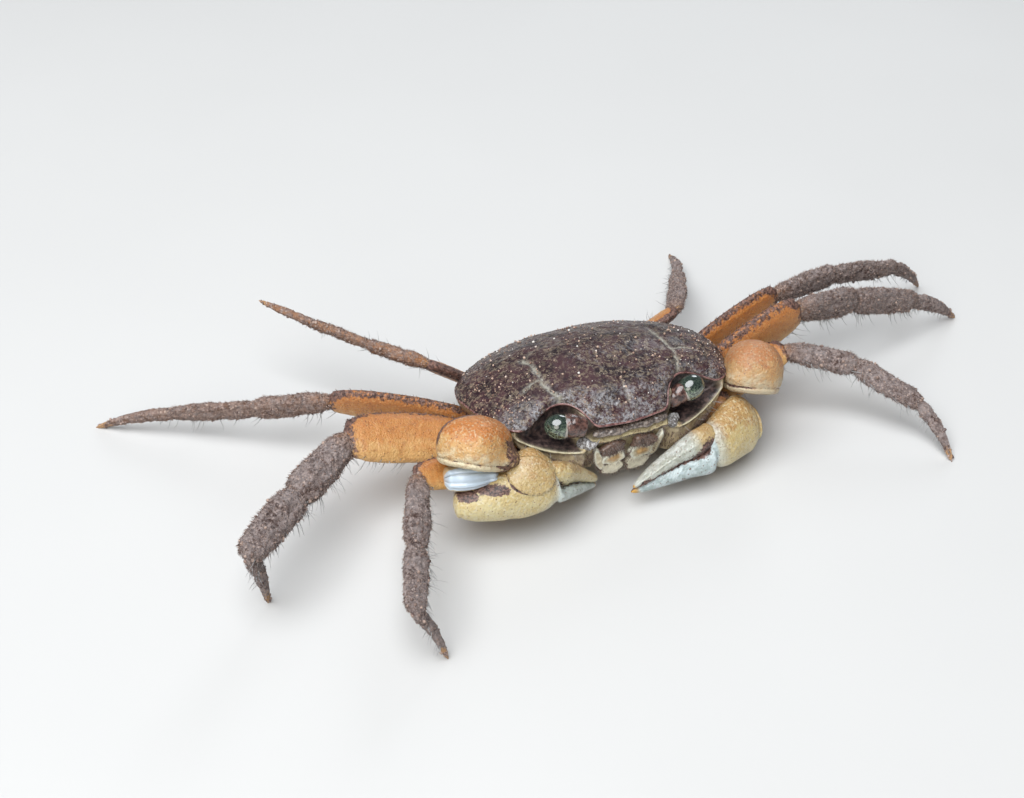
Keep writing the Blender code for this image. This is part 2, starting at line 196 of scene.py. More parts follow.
class Patchwork:
    """Gathers grids and loose meshes that become one piece."""

    def __init__(self):
        self.points, self.quads, self.tris, self.fields, self.uvs = [], [], [], [], []
        self.count = 0

    def add(self, points, quads, tris, fields=None, uv=None):
        """One closed mesh, turned so that its faces look outward."""
        volume = 0.0
        for polygons in (np.asarray(quads).reshape(-1, 4), np.asarray(tris).reshape(-1, 3)):
            if len(polygons):
                a = points[polygons[:, 0]]
                for k in range(1, polygons.shape[1] - 1):
                    volume += np.sum(a * np.cross(points[polygons[:, k]], points[polygons[:, k + 1]]))
        flip = slice(None, None, -1 if volume < 0 else 1)
        self.points.append(points)
        self.quads.append(np.asarray(quads, int).reshape(-1, 4)[:, flip] + self.count)
        self.tris.append(np.asarray(tris, int).reshape(-1, 3)[:, flip] + self.count)
        self.fields.append({k: np.broadcast_to(v, len(points)) for k, v in (fields or {}).items()})
        self.uvs.append(uv if uv is not None else np.zeros((len(points), 2)))
        self.count += len(points)

    def rings(self, grid, fields=None, uv=None):
        """A closed tube of rings with a fan over each end."""
        n, m = grid.shape[:2]
        k = np.arange(m)
        r = np.arange(n - 1)[:, None] * m
        quads = np.stack([r + k, r + (k + 1) % m, r + m + (k + 1) % m, r + m + k], -1).reshape(-1, 4)
        ends = np.stack([grid[0].mean(0), grid[-1].mean(0)])
        points = np.concatenate([grid.reshape(-1, 3), ends])
        first = np.stack([np.full(m, n * m), (k + 1) % m, k], -1)
        last = np.stack([np.full(m, n * m + 1), (n - 1) * m + k, (n - 1) * m + (k + 1) % m], -1)
        flat = {}
        for key, value in (fields or {}).items():
            value = np.broadcast_to(value, (n, m))
            flat[key] = np.concatenate([value.ravel(), [value[0].mean(), value[-1].mean()]])
        self.add(points, quads, np.concatenate([first, last]), flat, uv)

    def make(self, name, material, with_uv=False):
        """Everything gathered, as one object."""
        keys = sorted({k for f in self.fields for k in f})
        fields = {k: np.concatenate([f.get(k, np.zeros(len(p))) for f, p in zip(self.fields, self.points)])
                  for k in keys}
        return piece(name, np.concatenate(self.points), np.concatenate(self.quads),
                     np.concatenate(self.tris), material, fields,
                     np.concatenate(self.uvs) if with_uv else None)


def rings_piece(name, grid, material, fields=None):
    """One closed tube as an object of its own."""
    work = Patchwork()
    work.rings(grid, fields)
    return work.make(name, material)


def sweep(centres, high, wide, thin_hint, count, square=0.0, facing=None):
    """Rings round a path; high and wide are half sizes across; returns the grid, and how far up
    and how far to the side (-1 to 1) each point is in its ring."""
    along = unit(np.gradient(centres, axis=0)) if facing is None else unit(facing)
    hint = np.broadcast_to(np.asarray(thin_hint, float), along.shape)
    thin = unit(hint - along * np.sum(hint * along, -1, keepdims=True))
    up = unit(np.cross(thin, along))
    a = circle(count)
    c, s = (np.sign(k) * np.abs(k) ** (1 - square) for k in (np.cos(a), np.sin(a)))
    grid = (centres[:, None] + up[:, None] * (np.asarray(high)[:, None] * s)[..., None]
            + thin[:, None] * (np.asarray(wide)[:, None] * c)[..., None])
    return grid, np.broadcast_to(s, grid.shape[:2]), np.broadcast_to(c, grid.shape[:2])


# ================= materials =================


class Paint:
    """A node material, built a few nodes at a time; sizes are in millimetres, and colour is what
    has been laid down so far."""

    def __init__(self, name, **shader):
        self.material = bpy.data.materials.new(name)
        self.material.use_nodes = True
        self.tree = self.material.node_tree
        self.shader = self.tree.nodes["Principled BSDF"]
        self.place = self.tree.nodes.new("ShaderNodeTexCoord").outputs["Object"]
        self.colour = None
        self.set(self.shader, {k.replace("_", " "): v for k, v in shader.items()})

    def set(self, node, inputs):
        """Give a node's inputs values, or links where the value is another node's output."""
        for key, value in inputs.items():
            if isinstance(value, bpy.types.NodeSocket):
                self.tree.links.new(value, node.inputs[key])
            elif isinstance(value, tuple) and len(value) == 3 and node.inputs[key].type == "RGBA":
                node.inputs[key].default_value = (*value, 1)
            else:
                node.inputs[key].default_value = value
        return node

    def noise(self, size, detail=3, rough=0.55, warp=0.0):
        return self.set(self.tree.nodes.new("ShaderNodeTexNoise"),
                        {"Vector": self.place, "Scale": 1 / (size * MM), "Detail": detail,
                         "Roughness": rough, "Distortion": warp}).outputs["Fac"]

    def cells(self, size, feature="F1", out="Distance"):
        node = self.tree.nodes.new("ShaderNodeTexVoronoi")
        node.feature = feature
        return self.set(node, {"Vector": self.place, "Scale": 1 / (size * MM)}).outputs[out]

    def field(self, name):
        node = self.tree.nodes.new("ShaderNodeAttribute")
        node.attribute_name = name
        return node.outputs["Fac"]

    def ramp(self, value, low, high, a=0.0, b=1.0):
        """a where value is under low, b where it is over high, smooth between."""
        node = self.tree.nodes.new("ShaderNodeMapRange")
        node.interpolation_type = "SMOOTHSTEP"
        return self.set(node, {"Value": value, "From Min": low, "From Max": high, "To Min": a,
                               "To Max": b}).outputs["Result"]

    def blots(self, size, detail, low, high, a=0.0, b=1.0, rough=0.55, warp=0.0):
        """Noise cut into blots: a where it is under low, b where it is over high."""
        return self.ramp(self.noise(size, detail, rough, warp), low, high, a, b)

    def dots(self, size, low, high):
        """Round dots scattered at that spacing: 1 in their middles."""
        return self.ramp(self.cells(size), low, high)

    def sum(self, a, b, kind="ADD"):
        node = self.tree.nodes.new("ShaderNodeMath")
        node.operation = kind
        for socket, value in zip(node.inputs, (a, b)):
            if isinstance(value, bpy.types.NodeSocket):
                self.tree.links.new(value, socket)
            else:
                socket.default_value = value
        return node.outputs[0]

    def times(self, a, b):
        return self.sum(a, b, "MULTIPLY")

    def mix(self, share, a, b):
        node = self.tree.nodes.new("ShaderNodeMix")
        node.data_type = "RGBA"
        for key, value in ((0, share), (6, a), (7, b)):
            if isinstance(value, bpy.types.NodeSocket):
                self.tree.links.new(value, node.inputs[key])
            else:
                node.inputs[key].default_value = (*value, 1) if isinstance(value, tuple) else value
        return node.outputs[2]

    def blend(self, size, detail, a, b):
        """Two colours mingled by noise."""
        return self.mix(self.noise(size, detail), a, b)

    def mottle(self, size, detail, low, high, a, b, rough=0.55, warp=0.0):
        """Blots of colour b on colour a."""
        return self.mix(self.blots(size, detail, low, high, rough=rough, warp=warp), a, b)

    def lay(self, share, colour):
        """Cover that share of what is there with another colour."""
        self.colour = self.mix(share, self.colour, colour)

    def finish(self, rough=None, height=None, depth=0.02):
        """Connect colour, roughness and a relief of that depth, and hand over the material."""
        self.set(self.shader, {"Base Color": self.colour})
        if rough is not None:
            self.set(self.shader, {"Roughness": rough})
        if height is not None:
            node = self.set(self.tree.nodes.new("ShaderNodeBump"),
                            {"Height": height, "Distance": depth * MM, "Strength": 1.0})
            self.set(self.shader, {"Normal": node.outputs["Normal"]})
        return self.material


def shell_paint():
    """Dark maroon shell with fine olive-tan mottling, thin tan grooves, pale granule tips and painted
    bluish-grey sheen over the front.
    """
    p = Paint("shell", Coat_Weight=0.22, Coat_Roughness=0.12, Specular_IOR_Level=0.22)
    p.colour = p.mottle(1.7, 4, 0.35, 0.62, (0.014, 0.006, 0.009), (0.052, 0.022, 0.026))
    net = p.blots(0.42, 6, 0.49, 0.57, rough=0.72, warp=0.9)
    net = p.times(net, p.blots(1.5, 3, 0.34, 0.56, a=0.25))
    p.lay(p.times(net, 0.80), p.blend(0.7, 2, (0.10, 0.075, 0.050), (0.27, 0.215, 0.155)))
    ahead = p.times(p.blots(1.3, 4, 0.36, 0.60, rough=0.6), p.blots(0.26, 6, 0.44, 0.56, 0.05, 0.95, 0.75))
    # painted highlight: bluish-grey sheen and glints laid over the front where the front field says so
    p.lay(p.times(p.field("front"), ahead), p.blend(0.25, 3, (0.15, 0.14, 0.145), (0.42, 0.42, 0.44)))
    wall = p.times(p.field("side"), p.blots(0.6, 5, 0.35, 0.6, a=0.55))
    p.lay(wall, p.blend(0.35, 4, (0.10, 0.062, 0.035), (0.30, 0.225, 0.14)))
    groove = p.times(p.field("groove"), p.blots(0.35, 5, 0.38, 0.52, a=0.10, rough=0.65))
    p.lay(groove, p.blend(0.5, 2, (0.24, 0.21, 0.15), (0.35, 0.35, 0.32)))
    grain = p.cells(0.30)
    tips = p.times(p.ramp(grain, 0.34, 0.16), p.blots(1.1, 3, 0.42, 0.58))
    p.lay(p.times(tips, p.field("granular")), (0.46, 0.29, 0.20))
    specks = p.times(p.dots(0.36, 0.20, 0.08), p.blots(1.9, 2, 0.48, 0.62))
    p.lay(p.times(specks, 0.8), (0.52, 0.42, 0.34))
    rough = p.sum(p.blots(0.5, 5, 0.35, 0.65, 0.32, 0.66), p.times(p.field("front"), -0.20))
    return p.finish(rough, p.sum(p.noise(0.15, 4), p.times(grain, -0.7)), 0.065)


def rim_paint():
    """Reddish and glossy, for the raised edge of the shell."""
    p = Paint("rim", Coat_Weight=0.5, Coat_Roughness=0.15)
    p.colour = p.mottle(0.5, 4, 0.35, 0.65, (0.095, 0.036, 0.034), (0.27, 0.14, 0.125))
    return p.finish(p.blots(0.3, 3, 0.3, 0.7, 0.2, 0.42), p.noise(0.12, 4))


def face_paint():
    """Olive-brown under the shell; fields give the pale rims, the mouth frame and painted shade in the
    hollows.
    """
    p = Paint("face", Coat_Weight=0.25, Coat_Roughness=0.25)
    p.colour = p.mottle(0.7, 4, 0.35, 0.65, (0.23, 0.175, 0.11), (0.50, 0.41, 0.26))
    p.lay(p.times(p.field("under"), p.blots(1.5, 4, 0.3, 0.6, a=0.6)), (0.50, 0.38, 0.21))
    # painted shade: dark maroon-brown wherever the dark field says so
    hollow = p.mottle(0.55, 5, 0.38, 0.66, (0.016, 0.011, 0.013), (0.13, 0.085, 0.075), rough=0.65)
    p.lay(p.field("dark"), hollow)
    cream = p.mottle(0.26, 5, 0.46, 0.66, (0.72, 0.62, 0.36), (0.34, 0.22, 0.12), rough=0.65)
    p.lay(p.field("yellow"), cream)
    p.lay(p.field("pale"), p.blend(0.5, 3, (0.42, 0.36, 0.18), (0.74, 0.72, 0.56)))
    return p.finish(p.blots(0.5, 3, 0.35, 0.65, 0.28, 0.5), p.noise(0.20, 5), 0.05)


def lay_grime_and_shade(p, size, low, high, dark, light):
    """Patchy dirt where the field says so, together with the painted shade and shadow that the field also
    carries; returns its share.
    """
    grime = p.ramp(p.sum(p.field("dirt"), p.noise(0.42, 6, 0.7)), low, high)
    p.lay(grime, p.mottle(size, 5, 0.38, 0.64, dark, light, rough=0.7))
    return grime


def orange_paint(name, top, middle, low):
    """Arms and thighs: deeper above, paler below, brown grime along the upper edge; painted shade where the
    fields ask for it.
    """
    p = Paint(name, Coat_Weight=0.15, Coat_Roughness=0.30, Subsurface_Weight=0.05,
              Subsurface_Radius=(0.0008, 0.0004, 0.0002))
    up = p.sum(p.field("up"), p.blots(0.9, 4, 0.25, 0.75, -0.35, 0.35))
    p.colour = p.mix(p.ramp(up, -0.85, 0.0), low, middle)
    p.lay(p.ramp(up, 0.0, 0.75), top)
    p.lay(p.blots(0.22, 4, 0.50, 0.68, b=0.55), low)
    p.lay(p.blots(0.55, 4, 0.50, 0.70, b=0.45), (0.28, 0.105, 0.030))
    specks = p.times(p.dots(0.34, 0.23, 0.10), p.blots(0.9, 3, 0.42, 0.54))
    p.lay(p.times(specks, 0.85), (0.13, 0.045, 0.022))
    # painted shade: a dull brown over the whole piece, used to dim the left wrist
    p.lay(p.field("dull"), (0.24, 0.155, 0.105))
    grime = lay_grime_and_shade(p, 0.26, 0.93, 1.06, (0.028, 0.010, 0.008), (0.22, 0.115, 0.085))
    rough = p.sum(p.blots(0.4, 3, 0.3, 0.7, 0.34, 0.5), p.times(grime, 0.2))
    return p.finish(rough, p.sum(p.noise(0.12, 4), p.times(p.cells(0.22), -0.8)), 0.07)


def claw_paint():
    """Ochre hands with brown dimples; fingers bluish-white, darker along their gap, yellow tips, painted
    shadow beside the lobe.
    """
    p = Paint("claw", Coat_Weight=0.25, Coat_Roughness=0.22, Subsurface_Weight=0.05,
              Subsurface_Radius=(0.0008, 0.0005, 0.0003))
    height = p.sum(p.field("up"), p.blots(1.0, 4, 0.3, 0.7, -0.4, 0.4))
    p.colour = p.mix(p.ramp(height, -0.9, -0.1), (0.56, 0.48, 0.26), (0.50, 0.385, 0.175))
    p.lay(p.ramp(height, 0.0, 0.9), (0.38, 0.225, 0.085))
    p.lay(p.blots(0.30, 5, 0.48, 0.68, b=0.7), (0.60, 0.54, 0.37))
    p.lay(p.field("orange"), p.blend(0.5, 4, (0.26, 0.135, 0.050), (0.44, 0.32, 0.16)))
    p.lay(p.field("blue"), p.mottle(0.7, 4, 0.35, 0.65, (0.30, 0.36, 0.355), (0.48, 0.55, 0.56)))
    p.lay(p.field("tip"), (0.55, 0.30, 0.06))
    pores = p.times(p.dots(0.36, 0.23, 0.11), p.blots(1.1, 3, 0.38, 0.50))
    p.lay(p.times(pores, 0.85), (0.15, 0.065, 0.035))
    spots = p.times(p.dots(0.55, 0.24, 0.12), p.blots(0.8, 3, 0.46, 0.56))
    p.lay(p.times(p.times(spots, p.field("blue")), 0.9), (0.13, 0.060, 0.035))
    # the dirt field here also carries the painted shadow round the lobe
    grime = lay_grime_and_shade(p, 0.24, 0.95, 1.08, (0.020, 0.008, 0.007), (0.21, 0.115, 0.090))
    rough = p.sum(p.blots(0.4, 3, 0.3, 0.7, 0.28, 0.42), p.times(grime, 0.2))
    return p.finish(rough, p.sum(p.noise(0.25, 5), p.times(p.cells(0.24), -0.9)), 0.075)


def crust_paint():
    """Felt of short hair caked with soil, purple-brown with tan crumbs; clean horn where `clean`."""
    p = Paint("crust", Specular_IOR_Level=0.35)
    p.colour = p.mottle(0.45, 6, 0.37, 0.63, (0.042, 0.026, 0.026), (0.31, 0.26, 0.25), rough=0.7)
    broad = p.times(p.blots(1.9, 3, 0.36, 0.62), 0.55)
    p.lay(broad, p.blend(0.3, 4, (0.15, 0.125, 0.125), (0.40, 0.36, 0.35)))
    warm = p.times(p.field("warm"), p.blots(0.7, 4, 0.3, 0.6, a=0.3))
    p.lay(warm, p.blend(0.35, 4, (0.15, 0.055, 0.025), (0.42, 0.215, 0.10)))
    crumbs = p.times(p.dots(0.26, 0.38, 0.14), p.blots(0.9, 3, 0.40, 0.56))
    p.lay(crumbs, p.blend(0.5, 2, (0.36, 0.22, 0.15), (0.50, 0.44, 0.42)))
    clean = p.ramp(p.sum(p.field("clean"), p.times(p.noise(0.4, 4), 0.8)), 0.85, 1.05)
    p.lay(clean, p.blend(0.8, 3, (0.30, 0.13, 0.045), (0.52, 0.34, 0.18)))
    rough = p.sum(0.85, p.times(clean, -0.42))
    return p.finish(rough, p.sum(p.noise(0.16, 6, 0.75), p.times(p.cells(0.24), -0.6)), 0.12)


def cornea_paint():
    """Green-black wet eye with a fine pale green net, thicker below, and a grey ring at its base."""
    p = Paint("cornea", Coat_Weight=1.0, Coat_Roughness=0.11, Coat_IOR=1.65, Specular_IOR_Level=0.5)
    net = p.times(p.blots(0.20, 5, 0.46, 0.56, rough=0.75), p.ramp(p.field("up"), 0.80, 0.0, 0.15))
    p.colour = p.mix(net, (0.010, 0.020, 0.015), (0.19, 0.24, 0.165))
    p.lay(p.field("ring"), (0.34, 0.31, 0.27))
    return p.finish(0.12)


def membrane_paint():
    """Wet bluish-white skin of the joints with faint folds, painted shade in their creases."""
    p = Paint("membrane", Coat_Weight=0.6, Coat_Roughness=0.12, Subsurface_Weight=0.12,
              Subsurface_Radius=(0.0006, 0.0006, 0.0006))
    p.colour = p.blend(0.9, 3, (0.44, 0.53, 0.62), (0.64, 0.74, 0.84))
    # painted shade: grey in the creases of the folds
    p.lay(p.times(p.field("fold"), 0.7), (0.30, 0.32, 0.33))
    p.lay(p.ramp(p.sum(p.field("edge"), p.noise(0.5, 4)), 0.80, 1.12), (0.62, 0.50, 0.30))
    return p.finish(0.3, p.noise(0.25, 3))


def stalk_paint():
    """Glossy reddish-brown eye stalk with pale flecks and a pale rim round the eye."""
    p = Paint("stalk", Coat_Weight=0.8, Coat_Roughness=0.12)
    p.colour = p.mottle(0.45, 4, 0.38, 0.66, (0.030, 0.013, 0.011), (0.150, 0.072, 0.055), 0.6, 0.5)
    flecks = p.times(p.dots(0.20, 0.22, 0.08), p.blots(0.8, 2, 0.45, 0.6))
    p.lay(p.times(flecks, 0.6), (0.36, 0.27, 0.22))
    p.lay(p.times(p.field("rim"), 0.6), (0.30, 0.29, 0.24))
    return p.finish(p.blots(0.3, 3, 0.3, 0.7, 0.22, 0.42), p.noise(0.14, 4))


def feeler_paint():
    """Glassy grey feeler joints; the folded antennules brown."""
    p = Paint("feelers", Coat_Weight=0.6, Coat_Roughness=0.12)
    p.colour = p.mottle(0.28, 5, 0.42, 0.60, (0.10, 0.085, 0.08), (0.42, 0.42, 0.42), rough=0.7)
    brown = p.mottle(0.3, 5, 0.40, 0.62, (0.060, 0.042, 0.036), (0.30, 0.24, 0.20), rough=0.7)
    p.lay(p.field("dark"), brown)
    return p.finish(p.blots(0.3, 3, 0.3, 0.7, 0.18, 0.36), p.noise(0.12, 3), 0.015)


def mouth_paint():
    """Cream mouth plates: white rims, orange-brown hollows, brown felt and stains."""
    p = Paint("mouth", Coat_Weight=0.35, Coat_Roughness=0.2)
    p.colour = p.mottle(0.5, 4, 0.35, 0.65, (0.46, 0.38, 0.24), (0.72, 0.65, 0.47))
    p.lay(p.field("rim"), p.blend(0.3, 3, (0.64, 0.60, 0.44), (0.82, 0.84, 0.76)))
    p.lay(p.times(p.field("centre"), 0.9), p.blend(0.4, 3, (0.40, 0.18, 0.05), (0.62, 0.40, 0.15)))
    stain = p.ramp(p.sum(p.field("dirt"), p.noise(0.30, 6, 0.7)), 0.86, 1.0)
    p.lay(stain, p.blend(0.2, 3, (0.06, 0.03, 0.022), (0.20, 0.12, 0.085)))
    return p.finish(p.blots(0.3, 3, 0.3, 0.7, 0.3, 0.5), p.noise(0.16, 4), 0.03)


def bristle_paint():
    """Brown felt hairs with tan ones among them, and long silver bristles."""
    p = Paint("bristle", Specular_IOR_Level=0.5)
    p.colour = p.mix(p.field("shade"), (0.085, 0.048, 0.042), (0.46, 0.34, 0.28))
    p.lay(p.field("silver"), (0.42, 0.42, 0.42))
    p.lay(p.times(p.noise(0.6, 3), 0.3), (0.10, 0.06, 0.05))
    return p.finish(0.5)


def grain_paint():
    """Pale, tan and pinkish mineral crumbs."""
    p = Paint("grains", Specular_IOR_Level=0.6)
    p.colour = p.mix(p.ramp(p.field("shade"), 0.0, 0.6), (0.24, 0.14, 0.10), (0.56, 0.40, 0.31))
    p.lay(p.ramp(p.field("shade"), 0.8, 0.95), (0.80, 0.78, 0.74))
    p.lay(p.times(p.noise(0.3, 2), 0.3), (0.20, 0.12, 0.09))
    return p.finish(0.35)


def floor_paint():
    """Pale matt board."""
    p = Paint("floor", Roughness=0.75)
    p.colour = p.blend(40, 2, (0.53, 0.525, 0.515), (0.56, 0.555, 0.545))
    return p.finish()


# ================= the frame of the body =================
TURN = np.array(Matrix.Rotation(-radians(ROLL), 3, "Y") @ Matrix.Rotation(-radians(PITCH), 3, "X"))


def edge(y):
    """Height of the lateral margin: level at the sides, falling to the rear and a little in front."""
    back = np.maximum(0.0, (y + 2) / (REAR_Y + 2))
    ahead = np.maximum(0.0, (-y - 6.5) / (FRONT_Y - 6.5))
    return -SAG * back ** 1.35 - 0.45 * ahead ** 2


def skirt(y):
    """Height of the shell's lower edge, lower towards the rear."""
    return -SKIRT_FRONT - (SKIRT_REAR - SKIRT_FRONT) * (y + FRONT_Y) / (REAR_Y + FRONT_Y)


def below(y):
    """The underside, deepest at the mouth."""
    return -BELLY * (1 - 0.24 * np.clip((y + 3) / 13, 0, 1))


def arch(t):
    """The orbit's notch from its inner end (t = 0) to its outer corner (1): steep within, 1 at the peak."""
    t = np.clip(t, 0, 1)
    rise, fall = 2.22 * ORBIT_PEAK, 2.22 * (1 - ORBIT_PEAK)
    return t ** rise * (1 - t) ** fall / (ORBIT_PEAK ** rise * (1 - ORBIT_PEAK) ** fall)


def outline(count):
    """The shell seen from above: x, y and the share of the orbit's notch, at evenly spaced points."""
    steps, smoothings = 200, 26
    t = np.linspace(0, 1, steps)
    a = t * pi / 2
    corner_x, corner_y = CORNER
    x = np.concatenate([FRONT_HALF * t, FRONT_HALF + (corner_x - FRONT_HALF) * t,
                        corner_x + (HALF_WIDTH - corner_x) * np.sin(a), HALF_WIDTH * np.cos(a) ** 1.2])
    y = np.concatenate([np.full(steps, -FRONT_Y), -FRONT_Y + (FRONT_Y - corner_y) * t,
                        WIDEST_Y - (WIDEST_Y + corner_y) * np.cos(a) ** 1.1,
                        np.minimum(REAR_Y, WIDEST_Y + (REAR_Y + 0.9 - WIDEST_Y) * np.sin(a))])
    y[:steps] -= 0.30 * np.cos(a) ** 2
    notch = np.zeros(4 * steps)
    notch[steps:2 * steps] = arch(t)
    x, y, notch = (np.concatenate([v[:-1], w[::-1][:-1]]) for v, w in ((x, -x), (y, y), (notch, notch)))
    run = np.concatenate([[0], np.cumsum(np.hypot(np.diff(x), np.diff(y + ORBIT_DEPTH * notch)))])
    at = np.linspace(0, run[-1] + run[1], count, endpoint=False)
    x, y, notch = (np.interp(at, run, v) for v in (x, y, notch))
    for _ in range(smoothings):
        y, notch, x = ((np.roll(v, 1) + 2 * v + np.roll(v, -1)) / 4 for v in (y, notch, x))
    return x, y, notch


OUT_X, OUT_Y, NOTCH = outline(640)
EDGE_Y = OUT_Y + ORBIT_DEPTH * NOTCH
EDGE_Z = edge(EDGE_Y) + ORBIT_RISE * NOTCH
edge_ring = np.stack([OUT_X, EDGE_Y, EDGE_Z], -1) @ TURN.T
SHIFT = np.array(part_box("carapace")[0] / MM) - edge_ring.min(0)
SHIFT[2] = BODY_HEIGHT


def body(x, y, z):
    """Points given in the body's own axes (x to its left, y to its rear, z up from the margin), in
    the frame of the whole model."""
    return np.stack(np.broadcast_arrays(x, y, z), -1) @ TURN.T + SHIFT


# ================= shell =================
# the grooves of the shell, x and y from above
CERVICAL = ((7.3, 0.6), (7.0, -1.1), (7.2, -3.0), (7.2, -4.2), (6.9, -5.6), (6.3, -7.0))
BRANCH = ((7.2, -3.7), (8.3, -3.9), (9.5, -4.4))
HEART = ((7.3, 0.6), (5.6, 1.8), (3.0, 1.6), (2.3, 3.2), (2.6, 5.6))
MEDIAN = ((0.0, -9.0), (0.0, -6.6))
FRONT_SHARE = step(-OUT_Y, 6.6, 7.4)


def build_shell():
    """The carapace: top and side walls, with grooves, lobes and granules."""
    rho = 1 - np.linspace(0, 1, 120) ** 1.6 * 0.985
    fade = np.maximum(0, (rho - 0.72) / 0.28)[:, None]
    x = OUT_X * rho[:, None]
    y = MID_Y + (OUT_Y - MID_Y) * rho[:, None] + ORBIT_DEPTH * NOTCH * fade
    z = edge(y) + DOME * ((1 - rho ** 2.5) ** 0.68)[:, None] + ORBIT_RISE * NOTCH * fade
    w = np.linspace(0, 1, 26)[1:, None]
    side_scale = 1 - 0.11 * w ** 1.5 + 0.012 * np.sin(pi * w)
    wall_x = OUT_X * (side_scale * (1 - FRONT_SHARE) + (1 - 0.03 * w) * FRONT_SHARE)
    wall_y_side = MID_Y + (OUT_Y - MID_Y) * side_scale + ORBIT_DEPTH * NOTCH
    wall_y = wall_y_side * (1 - FRONT_SHARE) + (EDGE_Y + 0.9 * w) * FRONT_SHARE
    wall_z = ((EDGE_Z * (1 - w) + skirt(wall_y) * w) * (1 - FRONT_SHARE)
              + (EDGE_Z - 0.1 - 0.35 * w) * FRONT_SHARE)
    x, y, z = (np.concatenate([a[::-1], b]) for a, b in ((wall_x, x), (wall_y, y), (wall_z, z)))
    top = np.concatenate([np.zeros(len(w)), np.ones(len(rho))])[:, None]
    rho = np.concatenate([np.ones(len(w)), rho])[:, None]
    ax = np.abs(x)
    flat = np.stack([x, y, z], -1)
    wx, wy = ax + 0.22 * noise(flat, 1.1, 8, 2), y + 0.22 * noise(flat, 1.1, 9, 2)
    width = 0.22 + 0.10 * noise(flat, 0.9, 10)
    groove = np.maximum(bump(line_distance(wx, wy, CERVICAL), width),
                        0.8 * bump(line_distance(wx, wy, BRANCH), width * 0.85))
    heart = bump(line_distance(wx, wy, HEART), 0.26)
    middle = bump(line_distance(wx, wy, MEDIAN), 0.16)
    lobes = bump(ax - 1.9, 1.2) * bump(y + 7.35, 0.75) + 0.6 * bump(ax - 5.1, 1.4) * bump(y + 6.5, 0.7)
    hollow = bump(ax - 1.6, 2.4) * bump(y + 8.5, 0.5)
    seeds, mark = cells(flat, 0.34, 5)
    granular = step(rho, 0.62, 0.98) * (1 - 0.7 * FRONT_SHARE)
    bead = np.maximum(0, 0.5 - seeds) * (0.35 + 0.65 * mark)
    ahead = step(rho, 0.62, 0.85) * step(-y, 4.5, 7.0)
    valley = bump(line_distance(ax, y, CERVICAL), 0.8)
    lift = (-0.12 * groove - 0.16 * valley - 0.07 * heart - 0.10 * middle + 0.34 * lobes - 0.12 * hollow
            + 0.10 * noise(flat, 3.2, 11, 2) + (0.05 + 0.08 * ahead) * noise(flat, 0.7, 12, 3)
            + bead * (0.10 + 0.26 * granular)) * top
    lift = lift + (1 - top) * 0.03 * noise(flat, 0.6, 13, 2)
    # front field: where painted bluish-grey sheen goes, near the front and weaker on the animal's left; it
    # also makes the front glossier
    front_sheen = step(rho, 0.72, 0.9) * step(-y, 4.5, 7.0) * top * (1 - 0.4 * step(x, 0.5, 4.0))
    fields = {"groove": np.clip(groove + 0.2 * heart + 0.4 * middle * step(-y, 6, 8), 0, 1) * top,
              "side": 1 - top, "granular": granular * top, "front": front_sheen}
    obj = rings_piece("carapace_shell", raised(body(x, y, z), lift), shell_paint(), fields)
    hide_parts("carapace")


def build_rim():
    """The raised edge: a smooth reddish cord round front and orbits, a row of beads at the sides."""
    centre = body(OUT_X, EDGE_Y, EDGE_Z)
    run = np.arange(len(OUT_X)) * 0.125
    beads = (0.10 + 0.05 * np.sin(run * 2 * pi / 0.5)) * step(-OUT_Y, -6, 0)
    size = np.maximum(0.115 * FRONT_SHARE + (1 - FRONT_SHARE) * beads, 0.05)
    a = circle(12)
    outward = unit(centre - centre.mean(0)) * [1, 1, 0]
    up = np.broadcast_to(TURN[:, 2], centre.shape)
    grid = centre[:, None] + size[:, None, None] * (outward[:, None] * np.cos(a)[:, None]
                                                  + up[:, None] * np.sin(a)[:, None])
    n, m = grid.shape[:2]
    r, k = np.arange(n)[:, None], np.arange(m)
    ahead, beside = (r + 1) % n, (k + 1) % m
    index = np.stack([r * m + k, r * m + beside, ahead * m + beside, ahead * m + k], -1)
    work = Patchwork()
    work.add(grid.reshape(-1, 3), index.reshape(-1, 4), [])
    obj = work.make("carapace_rim", rim_paint())


# ================= face and thorax =================


def orbit_rim(ax):
    """Height of the lower edge of the orbit at that distance from the middle."""
    return -2.75 + 1.5 * np.clip((ax - 5.5) / 5.3, 0, 1.15) ** 2.2


